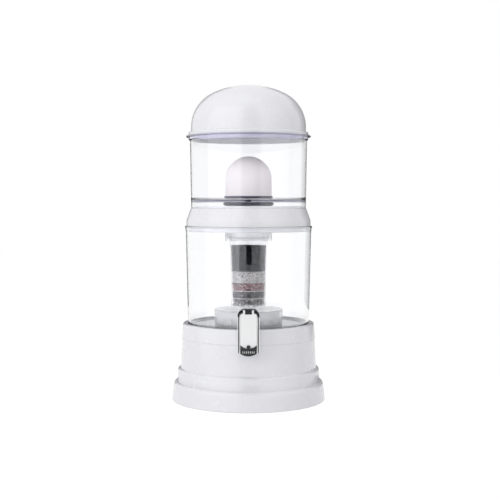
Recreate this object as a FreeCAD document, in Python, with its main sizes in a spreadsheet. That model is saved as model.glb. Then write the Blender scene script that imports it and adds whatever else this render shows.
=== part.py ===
"""A free-standing gravity water filter: a white stepped stand, a clear lower tank with a push tap, a white
collar, a clear upper tank with a ceramic dome filter and a hanging mineral cartridge, and a white domed lid.

Frame: +Z up, X across, the tap faces -Y. The origin is the centre of the stand's foot. Lengths are millimetres.
"""
import FreeCAD, Part
import math
import os
import sys

import Sketcher

Vector = FreeCAD.Vector
NO_TURN = FreeCAD.Rotation()
doc = FreeCAD.newDocument("gravity_water_filter")

# Driving dimensions
# Each row is a name and a value. The sheet holds them as plain numbers.
SIZES = (
    # Stand
    ("base_foot_radius", 150.5),
    ("base_height", 150),
    ("base_wall", 3),
    ("base_skirt_height", 29),
    ("base_skirt_lean", 3),
    ("base_lower_step", 8),
    ("base_belt_height", 20),
    ("base_upper_step", 6),
    ("base_column_lean", 3),
    ("base_band_height", 29),
    ("base_band_proud", 0.9),
    ("base_band_lean", 2.6),
    ("base_rim_round", 3),
    ("base_deck_depth", 7),
    ("base_rib_depth", 12),
    ("base_rib_thickness", 2.5),
    ("base_rib_count", 8),
    ("base_hub_radius", 30),
    ("nest_clearance", 1.5),
    # Lower tank
    ("tank_inset", 31.5),
    ("tank_spread", 4.7),
    ("tank_height", 197),
    ("tank_wall", 4),
    ("tank_floor", 5),
    ("tank_corner", 10),
    ("tank_flange_proud", 1.7),
    ("tank_flange_thickness", 3),
    ("tank_band_height", 6),
    ("tank_band_proud", 0.7),
    # Collar between the tanks
    ("collar_inset", 1.2),
    ("collar_lip_height", 12),
    ("collar_cone_height", 24),
    ("collar_lean", 8.9),
    ("collar_top_round", 1.5),
    ("collar_wall", 2.5),
    ("collar_plate", 3),
    ("collar_plug_depth", 10),
    ("collar_plug_clearance", 1),
    ("collar_passage", 12),
    ("collar_ring_height", 4),
    ("collar_ring_width", 2),
    ("collar_ring_clearance", 1),
    # Upper tank
    ("upper_inset", 0.4),
    ("upper_spread", 2.4),
    ("upper_height", 142),
    ("upper_wall", 3),
    ("upper_floor", 3),
    ("upper_floor_rise", 12),
    ("upper_corner", 5),
    ("upper_flange_proud", 7.4),
    ("upper_flange_thickness", 3),
    ("upper_band_height", 7),
    ("upper_band_proud", 2.4),
    # Lid
    ("lid_height", 101),
    ("lid_foot_inset", 4.5),
    ("lid_foot_height", 7),
    ("lid_foot_round", 2.5),
    ("lid_step", 5),
    ("lid_shoulder_radius", 74),
    ("lid_crown_radius", 160),
    ("lid_wall", 2.5),
    ("lid_plug_depth", 10),
    ("lid_plug_clearance", 1),
    # Ceramic dome filter and its fixing through the upper tank's floor
    ("ceramic_radius", 46),
    ("ceramic_wall", 8),
    ("ceramic_height", 80.6),
    ("plate_lip", 2),
    ("plate_thickness", 4),
    ("plate_rim_height", 2.2),
    ("plate_fit", 0.3),
    ("stem_radius", 6),
    ("stem_bore_radius", 3),
    ("stem_length", 38),
    ("stem_hole_clearance", 0.5),
    ("gasket_inset", 1),
    ("gasket_thickness", 2),
    ("gasket_fit", 0.2),
    ("wing_nut_radius", 9.5),
    ("wing_nut_height", 9),
    ("wing_span", 23),
    ("wing_thickness", 3),
    ("wing_height", 13),
    ("thread_fit", 0.1),
    # Cartridge holder under the upper tank
    ("holder_flange_thickness", 3),
    ("holder_radius", 46),
    ("holder_wall", 2.5),
    ("holder_height", 75),
    ("holder_shoulder", 4),
    ("knurl_count", 48),
    ("knurl_depth", 0.8),
    ("knurl_width", 2.4),
    ("knurl_height", 22),
    # Mineral cartridge
    ("cartridge_neck_clearance", 0.4),
    ("cartridge_neck_height", 22),
    ("cartridge_neck_drop", 46),
    ("cartridge_shoulder", 5),
    ("cartridge_top_radius", 38),
    ("cartridge_bottom_radius", 34),
    ("cartridge_clearance", 7.5),
    ("cartridge_wall", 2),
    ("cartridge_floor", 2),
    ("outlet_slot_count", 8),
    ("outlet_slot_length", 14),
    ("outlet_slot_width", 3),
    ("outlet_slot_start", 10),
    ("neck_ring_wire", 0.6),
    ("neck_ring_fit", 0.1),
    ("neck_ring_drop", 5),
    ("media_fit", 0.3),
    ("media_pad", 1.4),
    ("mineral_sand_depth", 12),
    ("tourmaline_depth", 13),
    ("red_ball_depth", 15.4),
    ("silica_sand_depth", 19.6),
    ("carbon_depth", 50.4),
    ("strainer_thickness", 2.5),
    ("strainer_slot_count", 12),
    ("strainer_slot_length", 16),
    ("strainer_slot_width", 2.5),
    ("strainer_slot_start", 14),
    # Stone case on the lower tank's floor
    ("case_radius", 66),
    ("case_wall", 2),
    ("case_height", 26),
    ("case_rib_count", 60),
    ("case_rib_depth", 0.7),
    ("case_rib_width", 2.6),
    ("case_rib_height", 12.5),
    ("case_rib_start", 1.5),
    ("case_lid_fit", 0.3),
    ("case_lid_wall", 1.6),
    ("case_lid_top", 2.5),
    ("case_lid_skirt", 11),
    ("case_lid_round", 1.2),
    ("case_slot_count", 16),
    ("case_slot_length", 26),
    ("case_slot_width", 3),
    ("case_slot_start", 26),
    ("stone_fit", 0.5),
    ("stone_bed_depth", 19),
    # Tap
    ("tap_axis_rise", 27),
    ("tap_boss_radius", 15.5),
    ("tap_boss_proud", 2.5),
    ("tap_boss_thickness", 8.5),
    ("tap_gasket_thickness", 2),
    ("tap_gasket_radius", 14),
    ("inner_gasket_thickness", 1.5),
    ("shank_radius", 9),
    ("shank_bore_radius", 6.5),
    ("shank_fit", 0.2),
    ("shank_tail", 20),
    ("shank_flange_thickness", 3.5),
    ("shank_neck_radius", 10.5),
    ("shank_neck_length", 4.5),
    ("tap_nut_radius", 14),
    ("tap_nut_height", 8),
    ("tap_width", 40.5),
    ("tap_depth", 23),
    ("tap_top_rise", 20),
    ("tap_rail_drop", 59),
    ("tap_block_drop", 12.5),
    ("tap_arch_round", 11),
    ("tap_slot_round", 6),
    ("tap_cheek", 4),
    ("tap_top_wall", 6),
    ("tap_notch_width", 21),
    ("tap_slot_depth", 8.5),
    ("tap_front_wall", 3),
    ("tap_chamber_radius", 6),
    ("tap_chamber_length", 8),
    ("seat_radius", 4),
    ("seat_thickness", 2.5),
    ("nozzle_radius", 6),
    ("nozzle_bore_radius", 3.7),
    ("nozzle_length", 24),
    ("pivot_rise", 16.2),
    ("pivot_setback", 3),
    ("pin_radius", 1.5),
    ("pin_fit", 0.05),
    ("lever_fit", 0.15),
    ("lever_side_gap", 0.9),
    ("lever_thickness", 3),
    ("lever_proud", 0.5),
    ("lever_drop", 60.3),
    ("lever_chin_radius", 26.3),
    ("knuckle_radius", 2.8),
    ("knuckle_width", 3.5),
    ("barrel_radius", 4),
    ("barrel_width", 11.6),
    ("barrel_gap", 0.6),
    ("barrel_groove", 0.7),
    ("barrel_groove_pitch", 2.9),
    ("barrel_groove_width", 1.1),
    ("lever_notch_depth", 1.4),
    ("lever_top_rise", 13),
    ("lever_top_round", 4.5),
    ("boss_radius", 3),
    ("boss_length", 1.4),
    ("touch_gap", 0.3),
    ("grip_inset", 0.3),
    ("grip_thickness", 1.8),
    ("grip_horn_rise", 15.5),
    ("grip_hollow_radius", 22),
    ("grip_stud_radius", 3.5),
    ("grip_stud_rise", 12.3),
    ("grip_stud_proud", 0.7),
    ("grip_rib_width", 1.3),
    ("grip_rib_pitch", 3.4),
    ("grip_rib_height", 4),
    ("grip_rib_rise", 0.6),
    ("grip_rib_proud", 0.6),
    ("rod_radius", 1.6),
    ("rod_guide_fit", 0.15),
    ("seal_radius", 5.6),
    ("seal_thickness", 2.5),
    ("head_radius", 5),
    ("head_thickness", 2),
    ("tail_rod_length", 10),
    ("rod_ring_wire", 1),
    ("rod_ring_fit", 0.05),
    ("spring_radius", 3.6),
    ("spring_wire", 0.5),
    ("spring_turns", 4),
    ("strainer_cup_wall", 1.2),
    ("strainer_cup_fit", 0.1),
    ("strainer_cup_floor", 2),
    ("strainer_cup_length", 12),
    ("strainer_hole_radius", 1.1),
    ("strainer_hole_circle", 2.9),
    ("strainer_hole_count", 6),
)

sheet = doc.addObject("Spreadsheet::Sheet", "Sizes")
for row, (alias, number) in enumerate(SIZES, start=1):
    sheet.set(f"A{row}", alias)
    sheet.set(f"B{row}", str(number))
    sheet.setAlias(f"B{row}", alias)
doc.recompute()


class Size:
    """A length as a number, together with the sheet formula that gives it."""

    def __init__(self, number, formula):
        self.number = number
        self.formula = formula

    def __add__(self, other):
        return Size(self.number + number_of(other), f"({self.formula} + {formula_of(other)})")

    def __radd__(self, other):
        return self + other

    def __sub__(self, other):
        return Size(self.number - number_of(other), f"({self.formula} - {formula_of(other)})")

    def __rsub__(self, other):
        return Size(number_of(other) - self.number, f"({formula_of(other)} - {self.formula})")

    def __mul__(self, other):
        return Size(self.number * number_of(other), f"({self.formula} * {formula_of(other)})")

    def __rmul__(self, other):
        return self * other

    def __truediv__(self, other):
        return Size(self.number / number_of(other), f"({self.formula} / {formula_of(other)})")

    def __neg__(self):
        return Size(-self.number, f"(0 - {self.formula})")


def number_of(value):
    return value.number if isinstance(value, Size) else value


def formula_of(value):
    return value.formula if isinstance(value, Size) else repr(value)


def root(value):
    """The square root of a size."""
    return Size(math.sqrt(value.number), f"sqrt({value.formula})")


class Sheet:
    """The sheet's sizes by name."""

    def __getattr__(self, alias):
        return Size(float(sheet.get(alias)), f"Sizes.{alias}")


size = Sheet()
FULL_TURN = 360
HALF = 0.5


# Sketch helpers
def bind(target, path, value):
    """Ties a property of a feature to the sheet."""
    target.setExpression(path, formula_of(value))


def new_body(label):
    body = doc.addObject("PartDesign::Body", label)
    body.Label = label
    return body


def origin_feature(body, role):
    return next(f for f in body.Origin.OriginFeatures if f.Role == role)


def new_sketch(body, name, plane, offset=None, rise=None):
    """A sketch on one of the body's origin planes, moved along its normal by offset and up by rise."""
    sketch = body.newObject("Sketcher::SketchObject", f"{body.Name}_{name}")
    sketch.AttachmentSupport = (origin_feature(body, plane), [""])
    sketch.MapMode = "FlatFace"
    if offset is not None:
        bind(sketch, "AttachmentOffset.Base.z", offset)
    if rise is not None:
        bind(sketch, "AttachmentOffset.Base.y", rise)
    return sketch


def pin_point(sketch, element, end, x, y):
    """Fixes one point of the sketch at x and y, each a size or a plain zero, which lies on the axis."""
    for value, kind, axis in ((x, "DistanceX", -2), (y, "DistanceY", -1)):
        if isinstance(value, Size):
            place = sketch.addConstraint(Sketcher.Constraint(kind, -1, 1, element, end, value.number))
            bind(sketch, f"Constraints[{place}]", value)
        else:
            sketch.addConstraint(Sketcher.Constraint("PointOnObject", element, end, axis))


def draw_outline(sketch, corners):
    """A closed outline. A corner is (x, y) or (x, y, radius): with a radius, the edge that leaves it is an arc,
    which turns left where the radius comes as (radius, 1) and right where it comes as (radius, -1)."""
    drawn = []
    for here, after in zip(corners, corners[1:] + corners[:1]):
        start = Vector(number_of(here[0]), number_of(here[1]), 0)
        end = Vector(number_of(after[0]), number_of(after[1]), 0)
        if len(here) == 2:
            element = sketch.addGeometry(Part.LineSegment(start, end), False)
            drawn.append((element, 1, 2))
            continue
        radius, turn = here[2]
        chord = end - start
        apothem = math.sqrt(max(number_of(radius) ** 2 - (chord.Length / 2) ** 2, 0))
        left = Vector(-chord.y, chord.x, 0).normalize()
        centre = (start + end) * HALF + left * (apothem * turn)
        first, last = (start, end) if turn > 0 else (end, start)
        angles = [math.atan2(p.y - centre.y, p.x - centre.x) for p in (first, last)]
        circle = Part.Circle(centre, Vector(0, 0, 1), number_of(radius))
        element = sketch.addGeometry(Part.ArcOfCircle(circle, *angles), False)
        drawn.append((element, 1, 2) if turn > 0 else (element, 2, 1))
    for (element, _, end), (following, start, _) in zip(drawn, drawn[1:] + drawn[:1]):
        sketch.addConstraint(Sketcher.Constraint("Coincident", element, end, following, start))
    for (element, start, _), corner in zip(drawn, corners):
        pin_point(sketch, element, start, corner[0], corner[1])
        if len(corner) > 2:
            radius = corner[2][0]
            place = sketch.addConstraint(Sketcher.Constraint("Radius", element, number_of(radius)))
            bind(sketch, f"Constraints[{place}]", radius)
    return sketch


def draw_circle(sketch, x, y, radius):
    centre = Vector(number_of(x), number_of(y), 0)
    circle = Part.Circle(centre, Vector(0, 0, 1), number_of(radius))
    element = sketch.addGeometry(circle, False)
    pin_point(sketch, element, 3, x, y)
    place = sketch.addConstraint(Sketcher.Constraint("Radius", element, number_of(radius)))
    bind(sketch, f"Constraints[{place}]", radius)
    return sketch


def draw_box(sketch, low_x, high_x, low_y, high_y):
    corners = [(low_x, low_y), (high_x, low_y), (high_x, high_y), (low_x, high_y)]
    return draw_outline(sketch, corners)


# Feature helpers
def turn_round(body, name, sketch, kind="Revolution", axis="V_Axis"):
    """Turns an outline a full turn about one of its sketch's axes. Kind is Revolution or Groove."""
    feature = body.newObject(f"PartDesign::{kind}", f"{body.Name}_{name}")
    feature.Profile = sketch
    feature.ReferenceAxis = (sketch, [axis])
    feature.Angle = FULL_TURN
    doc.recompute()
    return feature


def extrude(body, name, sketch, length, kind="Pad", reverse=False, both_ways=False):
    """Pads or pockets a sketch by a length. A pocket cuts against the sketch's normal."""
    feature = body.newObject(f"PartDesign::{kind}", f"{body.Name}_{name}")
    feature.Profile = sketch
    bind(feature, "Length", length)
    feature.Reversed = reverse
    feature.Midplane = both_ways
    doc.recompute()
    return feature


def repeat_round(body, name, feature, count, axis):
    """Repeats a feature about an axis, which is (object, [axis name])."""
    pattern = body.newObject("PartDesign::PolarPattern", f"{body.Name}_{name}")
    pattern.Originals = [feature]
    pattern.Axis = axis
    pattern.Angle = FULL_TURN
    bind(pattern, "Occurrences", count)
    body.Tip = pattern
    doc.recompute()
    return pattern


def upright_axis(body):
    return (origin_feature(body, "Z_Axis"), [""])


def revolved(label, corners):
    """A body turned about the upright axis from an outline of (radius, height) corners."""
    body = new_body(label)
    sketch = draw_outline(new_sketch(body, "profile", "XZ_Plane"), corners)
    turn_round(body, "turned", sketch)
    return body


def tap_turned(label, corners):
    """A body turned about the tap's level axis from an outline of (y, radius) corners."""
    body = new_body(label)
    sketch = draw_outline(new_sketch(body, "profile", "YZ_Plane", rise=tap_axis_z), corners)
    turn_round(body, "turned", sketch, axis="H_Axis")
    return body


def ring(inner, outer, low, high):
    """The outline of a plain ring about an upright axis."""
    return [(inner, low), (outer, low), (outer, high), (inner, high)]


# Heights of the stack, from the floor up
deck_z = size.base_height - size.base_deck_depth
tank_rim_z = deck_z + size.tank_height
tank_floor_z = deck_z + size.tank_floor
collar_top_z = tank_rim_z + size.collar_lip_height + size.collar_cone_height
upper_floor_low_z = collar_top_z + size.upper_floor_rise
upper_floor_z = upper_floor_low_z + size.upper_floor
upper_rim_z = collar_top_z + size.upper_height
lid_top_z = upper_rim_z + size.lid_height
tap_axis_z = deck_z + size.tap_axis_rise

# Radii of the stack, each from the one below it
tank_foot_radius = size.base_foot_radius - size.tank_inset
tank_top_radius = tank_foot_radius + size.tank_spread
collar_foot_radius = tank_top_radius - size.collar_inset
collar_top_radius = collar_foot_radius - size.collar_lean
upper_foot_radius = collar_top_radius - size.upper_inset
upper_top_radius = upper_foot_radius + size.upper_spread
upper_flange_radius = upper_top_radius + size.upper_flange_proud
lid_foot_radius = upper_flange_radius - size.lid_foot_inset
lid_dome_radius = lid_foot_radius - size.lid_step

# Radii that two pieces share
rim_inner_radius = tank_foot_radius + size.nest_clearance
tank_inner_top = tank_top_radius - size.tank_wall
upper_inner_top = upper_top_radius - size.upper_wall
upper_inner_foot = upper_foot_radius - size.upper_wall
collar_hole_radius = size.holder_radius + size.holder_shoulder + size.collar_passage


def make_base_shell():
    """The stand: one hollow moulding, stepped outside, with a rimmed deck that the lower tank sits on."""
    wall = size.base_wall
    skirt_top = size.base_foot_radius - size.base_skirt_lean
    belt = skirt_top - size.base_lower_step
    belt_low_z = size.base_skirt_height + size.base_lower_step
    belt_top_z = belt_low_z + size.base_belt_height
    column = belt - size.base_upper_step
    column_z = belt_top_z + size.base_upper_step
    column_top = column - size.base_column_lean
    band_z = size.base_height - size.base_band_height
    band = column_top + size.base_band_proud
    rim = band - size.base_band_lean
    round_off = size.base_rim_round
    body = revolved(
        "base_shell",
        [
            (size.base_foot_radius, 0),
            (skirt_top, size.base_skirt_height, (size.base_lower_step, 1)),
            (belt, belt_low_z),
            (belt, belt_top_z, (size.base_upper_step, 1)),
            (column, column_z),
            (column_top, band_z),
            (band, band_z),
            (rim, size.base_height - round_off, (round_off, 1)),
            (rim - round_off, size.base_height),
            (rim_inner_radius, size.base_height),
            (rim_inner_radius, deck_z),
            (0, deck_z),
            (0, deck_z - wall),
            (rim - wall, deck_z - wall),
            (column_top - wall, band_z),
            (column - wall, column_z - wall),
            (belt - wall, belt_top_z),
            (belt - wall, belt_low_z - wall),
            (skirt_top - wall, size.base_skirt_height),
            (size.base_foot_radius - wall, 0),
        ],
    )
    rib = new_sketch(body, "rib", "YZ_Plane")
    draw_box(rib, size.base_hub_radius, column_top - wall, deck_z - wall - size.base_rib_depth, deck_z - wall * HALF)
    pad = extrude(body, "rib_pad", rib, size.base_rib_thickness, both_ways=True)
    repeat_round(body, "ribs", pad, size.base_rib_count, upright_axis(body))
    return body


def make_lower_tank():
    """The clear lower tank, with a flanged rim, a rounded foot and a flat boss for the tap."""
    wall = size.tank_wall
    corner = size.tank_corner
    inner_corner = corner - wall
    flange_z = tank_rim_z - size.tank_flange_thickness
    band_z = flange_z - size.tank_band_height
    band = tank_top_radius + size.tank_band_proud
    tank_flange_radius = tank_top_radius + size.tank_flange_proud
    floor = tank_floor_z
    body = revolved(
        "lower_tank",
        [
            (0, deck_z),
            (tank_foot_radius - corner, deck_z, (corner, 1)),
            (tank_foot_radius, deck_z + corner),
            (tank_top_radius, band_z),
            (band, band_z),
            (band, flange_z),
            (tank_flange_radius, flange_z),
            (tank_flange_radius, tank_rim_z),
            (tank_inner_top, tank_rim_z),
            (tank_foot_radius - wall, floor + inner_corner, (inner_corner, -1)),
            (tank_foot_radius - wall - inner_corner, floor),
            (0, floor),
        ],
    )
    face = tank_foot_radius + size.tap_boss_proud
    boss = new_sketch(body, "boss", "XZ_Plane", face, tap_axis_z)
    draw_circle(boss, 0, 0, size.tap_boss_radius)
    extrude(body, "boss_pad", boss, size.tap_boss_thickness, reverse=True)
    hole = new_sketch(body, "hole", "XZ_Plane", face, tap_axis_z)
    draw_circle(hole, 0, 0, size.shank_radius + size.shank_fit)
    extrude(body, "hole_cut", hole, size.tap_boss_thickness * 2, kind="Pocket")
    return body


def make_collar():
    """The white collar: it plugs into the lower tank's rim and carries the upper tank's foot."""
    wall = size.collar_wall
    plug_outer = tank_inner_top - size.collar_plug_clearance
    plug_inner = plug_outer - wall
    cone_z = tank_rim_z + size.collar_lip_height
    top = collar_top_radius
    round_off = size.collar_top_round
    ring_outer = upper_inner_foot - size.collar_ring_clearance
    ring_inner = ring_outer - size.collar_ring_width
    ring_z = collar_top_z + size.collar_ring_height
    plate_z = collar_top_z - size.collar_plate
    return revolved(
        "collar",
        [
            (collar_hole_radius, plate_z),
            (top - wall - round_off, plate_z),
            (collar_foot_radius - wall, cone_z),
            (collar_foot_radius - wall, tank_rim_z + wall),
            (plug_inner, tank_rim_z + wall),
            (plug_inner, tank_rim_z - size.collar_plug_depth),
            (plug_outer, tank_rim_z - size.collar_plug_depth),
            (plug_outer, tank_rim_z),
            (collar_foot_radius, tank_rim_z),
            (collar_foot_radius, cone_z),
            (top, collar_top_z - round_off, (round_off, 1)),
            (top - round_off, collar_top_z),
            (ring_outer, collar_top_z),
            (ring_outer, ring_z),
            (ring_inner, ring_z),
            (ring_inner, collar_top_z),
            (collar_hole_radius, collar_top_z),
        ],
    )


def make_upper_tank():
    """The clear upper tank: a raised floor inside a standing skirt, and a thick flanged rim."""
    wall = size.upper_wall
    flange_z = upper_rim_z - size.upper_flange_thickness
    band_z = flange_z - size.upper_band_height
    band = upper_top_radius + size.upper_band_proud
    hole = size.stem_radius + size.stem_hole_clearance
    corner = size.upper_corner
    return revolved(
        "upper_tank",
        [
            (hole, upper_floor_low_z),
            (upper_inner_foot, upper_floor_low_z),
            (upper_inner_foot, collar_top_z),
            (upper_foot_radius, collar_top_z),
            (upper_top_radius, band_z),
            (band, band_z + size.upper_band_proud),
            (band, flange_z),
            (upper_flange_radius, flange_z),
            (upper_flange_radius, upper_rim_z),
            (upper_inner_top, upper_rim_z),
            (upper_inner_foot, upper_floor_z + corner, (corner, -1)),
            (upper_inner_foot - corner, upper_floor_z),
            (hole, upper_floor_z),
        ],
    )


def make_lid():
    """The white domed lid: crown and shoulder arcs that run into each other, a foot ring and a plug."""
    wall = size.lid_wall
    dome = lid_dome_radius
    shoulder = size.lid_shoulder_radius
    crown = size.lid_crown_radius
    side = dome - shoulder
    apart = crown - shoulder
    rise = root(apart * apart - side * side)
    crown_z = lid_top_z - crown
    shoulder_z = crown_z + rise
    plug_outer = upper_inner_top - size.lid_plug_clearance
    plug_inner = plug_outer - wall
    foot_z = upper_rim_z + size.lid_foot_height
    round_off = size.lid_foot_round

    def meeting(radius):
        """The point where the arc at this radius from the crown's centre runs into the shoulder."""
        return (side * radius / apart, crown_z + rise * radius / apart)

    return revolved(
        "lid",
        [
            (plug_outer, upper_rim_z),
            (lid_foot_radius, upper_rim_z),
            (lid_foot_radius, foot_z - round_off, (round_off, 1)),
            (lid_foot_radius - round_off, foot_z),
            (dome, foot_z),
            (dome, shoulder_z, (shoulder, 1)),
            (*meeting(crown), (crown, 1)),
            (0, lid_top_z),
            (0, lid_top_z - wall, (crown - wall, -1)),
            (*meeting(crown - wall), (shoulder - wall, -1)),
            (dome - wall, shoulder_z),
            (dome - wall, upper_rim_z + wall),
            (plug_inner, upper_rim_z + wall),
            (plug_inner, upper_rim_z - size.lid_plug_depth),
            (plug_outer, upper_rim_z - size.lid_plug_depth),
        ],
    )


# The ceramic filter's stack on the upper tank's floor
plate_low_z = upper_floor_z + size.gasket_thickness
ceramic_low_z = plate_low_z + size.plate_thickness
holder_top_z = upper_floor_low_z - size.gasket_thickness
holder_plate_z = holder_top_z - size.holder_flange_thickness
holder_low_z = holder_top_z - size.holder_height
holder_inner = size.holder_radius - size.holder_wall


def make_ceramic_dome():
    """The white ceramic candle, a hollow cylinder with a domed end, open below."""
    outer = size.ceramic_radius
    inner = outer - size.ceramic_wall
    top = ceramic_low_z + size.ceramic_height
    spring_line = top - outer
    return revolved(
        "ceramic_dome",
        [
            (inner, ceramic_low_z),
            (outer, ceramic_low_z),
            (outer, spring_line, (outer, 1)),
            (0, top),
            (0, top - size.ceramic_wall, (inner, -1)),
            (inner, spring_line),
        ],
    )


def make_dome_base_plate():
    """The plastic plate that the ceramic is bonded into, with its hollow stem down through the tank."""
    rim = size.ceramic_radius + size.plate_fit
    plate_radius = size.ceramic_radius + size.plate_lip
    rim_z = ceramic_low_z + size.plate_rim_height
    return revolved(
        "dome_base_plate",
        [
            (size.stem_bore_radius, plate_low_z - size.stem_length),
            (size.stem_radius, plate_low_z - size.stem_length),
            (size.stem_radius, plate_low_z),
            (plate_radius, plate_low_z),
            (plate_radius, rim_z),
            (rim, rim_z),
            (rim, ceramic_low_z),
            (size.stem_bore_radius, ceramic_low_z),
        ],
    )


def make_floor_gaskets():
    """Two silicone washers on the stem, one on each side of the upper tank's floor."""
    inner = size.stem_radius + size.gasket_fit
    plate = size.ceramic_radius + size.plate_lip
    flange = size.holder_radius + size.holder_shoulder
    for label, outer, low, high in (
        ("dome_gasket", plate, upper_floor_z, plate_low_z),
        ("holder_gasket", flange, holder_top_z, upper_floor_low_z),
    ):
        revolved(label, ring(inner, outer - size.gasket_inset, low, high))


def make_wing_nut():
    """The wing nut that pulls the plate, the tank's floor and the cartridge holder together."""
    body = revolved(
        "wing_nut",
        ring(
            size.stem_radius + size.thread_fit,
            size.wing_nut_radius,
            holder_plate_z - size.wing_nut_height,
            holder_plate_z,
        ),
    )
    wing_start = (size.stem_radius + size.wing_nut_radius) * HALF
    wing_low = holder_plate_z - size.wing_height
    wing = new_sketch(body, "wing", "XZ_Plane")
    draw_outline(
        wing,
        [
            (wing_start, holder_plate_z - size.wing_nut_height),
            (size.wing_span, wing_low),
            (size.wing_span, holder_plate_z - size.wing_thickness),
            (wing_start, holder_plate_z - size.wing_thickness * HALF),
        ],
    )
    pad = extrude(body, "wing_pad", wing, size.wing_thickness, both_ways=True)
    pattern = body.newObject("PartDesign::PolarPattern", "wing_nut_pair")
    pattern.Originals = [pad]
    pattern.Axis = upright_axis(body)
    pattern.Angle = FULL_TURN
    pattern.Occurrences = 2
    body.Tip = pattern
    doc.recompute()
    return body


def make_cartridge_holder():
    """The clear cap under the upper tank that the cartridge screws into, knurled round its mouth."""
    shoulder = size.holder_shoulder
    flange = size.holder_radius + shoulder
    hole = size.stem_radius + size.stem_hole_clearance
    body = revolved(
        "cartridge_holder",
        [
            (hole, holder_plate_z),
            (holder_inner, holder_plate_z),
            (holder_inner, holder_low_z),
            (size.holder_radius, holder_low_z),
            (size.holder_radius, holder_plate_z - shoulder, (shoulder, -1)),
            (flange, holder_plate_z),
            (flange, holder_top_z),
            (hole, holder_top_z),
        ],
    )
    rib = new_sketch(body, "rib", "XY_Plane", holder_low_z)
    half_width = size.knurl_width * HALF
    draw_box(rib, size.holder_radius - half_width, size.holder_radius + size.knurl_depth, -half_width, half_width)
    pad = extrude(body, "rib_pad", rib, size.knurl_height)
    repeat_round(body, "knurl", pad, size.knurl_count, upright_axis(body))
    return body


# The cartridge, hung from the holder's mouth down to just over the stone case
case_top_z = tank_floor_z + size.case_height
case_lid_top_z = case_top_z + size.case_lid_top
neck_top_z = holder_top_z - size.cartridge_neck_drop
neck_radius = holder_inner - size.cartridge_neck_clearance
neck_inner = neck_radius - size.cartridge_wall
neck_ring_z = neck_top_z - size.neck_ring_drop
neck_ring_radius = holder_inner - size.neck_ring_fit - size.neck_ring_wire
shoulder_top_z = neck_top_z - size.cartridge_neck_height
shoulder_low_z = shoulder_top_z - size.cartridge_shoulder
cup_low_z = case_lid_top_z + size.cartridge_clearance
cup_floor_z = cup_low_z + size.cartridge_floor
cup_inner_top = size.cartridge_top_radius - size.cartridge_wall
cup_inner_low = size.cartridge_bottom_radius - size.cartridge_wall
cup_taper = (cup_inner_top - cup_inner_low) / (shoulder_low_z - cup_floor_z)


def make_cartridge_body():
    """The clear tapered cup with its wide screw neck, a groove for the neck ring and a slotted outlet."""
    half_groove = size.neck_ring_wire + size.neck_ring_fit
    groove_floor = neck_ring_radius - half_groove
    body = revolved(
        "cartridge_body",
        [
            (0, cup_low_z),
            (size.cartridge_bottom_radius, cup_low_z),
            (size.cartridge_top_radius, shoulder_low_z),
            (neck_radius, shoulder_top_z),
            (neck_radius, neck_ring_z - half_groove),
            (groove_floor, neck_ring_z - half_groove),
            (groove_floor, neck_ring_z + half_groove),
            (neck_radius, neck_ring_z + half_groove),
            (neck_radius, neck_top_z),
            (neck_inner, neck_top_z),
            (neck_inner, shoulder_top_z),
            (cup_inner_top, shoulder_low_z),
            (cup_inner_low, cup_floor_z),
            (0, cup_floor_z),
        ],
    )
    slot = new_sketch(body, "outlet", "XY_Plane", cup_floor_z)
    half_width = size.outlet_slot_width * HALF
    start = size.outlet_slot_start
    draw_box(slot, start, start + size.outlet_slot_length, -half_width, half_width)
    cut = extrude(body, "outlet_cut", slot, size.cartridge_floor * 2, kind="Pocket")
    repeat_round(body, "outlets", cut, size.outlet_slot_count, upright_axis(body))
    return body


def make_neck_ring():
    """The rubber ring in the cartridge's neck."""
    body = new_body("neck_ring")
    wire = size.neck_ring_wire
    section = new_sketch(body, "section", "XZ_Plane")
    draw_box(section, neck_ring_radius - wire, neck_ring_radius + wire, neck_ring_z - wire, neck_ring_z + wire)
    turn_round(body, "turned", section)
    return body


def make_media():
    """The filter's layers from the bottom up, each a tapered plug, with a felt pad between each two."""
    low = cup_floor_z
    layers = (
        ("layer_mineral_sand", size.mineral_sand_depth),
        ("pad_lowest", size.media_pad),
        ("layer_tourmaline", size.tourmaline_depth),
        ("pad_lower", size.media_pad),
        ("layer_red_balls", size.red_ball_depth),
        ("pad_upper", size.media_pad),
        ("layer_silica_sand", size.silica_sand_depth),
        ("pad_highest", size.media_pad),
        ("layer_carbon", size.carbon_depth),
    )
    for label, depth in layers:
        high = low + depth
        low_radius = cup_inner_low + cup_taper * (low - cup_floor_z) - size.media_fit
        high_radius = cup_inner_low + cup_taper * (high - cup_floor_z) - size.media_fit
        revolved(label, [(0, low), (low_radius, low), (high_radius, high), (0, high)])
        low = high


def make_cartridge_strainer():
    """The white slotted lid that closes the cartridge's neck."""
    plug = neck_inner - size.media_fit
    top_z = neck_top_z + size.strainer_thickness
    body = revolved(
        "cartridge_strainer",
        [
            (0, neck_top_z),
            (plug - size.cartridge_wall, neck_top_z),
            (plug - size.cartridge_wall, neck_top_z - size.cartridge_shoulder),
            (plug, neck_top_z - size.cartridge_shoulder),
            (plug, neck_top_z),
            (neck_radius, neck_top_z),
            (neck_radius, top_z),
            (0, top_z),
        ],
    )
    slot = new_sketch(body, "slot", "XY_Plane", top_z)
    half_width = size.strainer_slot_width * HALF
    start = size.strainer_slot_start
    draw_box(slot, start, start + size.strainer_slot_length, -half_width, half_width)
    cut = extrude(body, "slot_cut", slot, size.strainer_thickness * 2, kind="Pocket")
    repeat_round(body, "slots", cut, size.strainer_slot_count, upright_axis(body))
    return body


# The stone case, standing on the lower tank's floor
case_rib_top = size.case_radius + size.case_rib_depth


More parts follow.
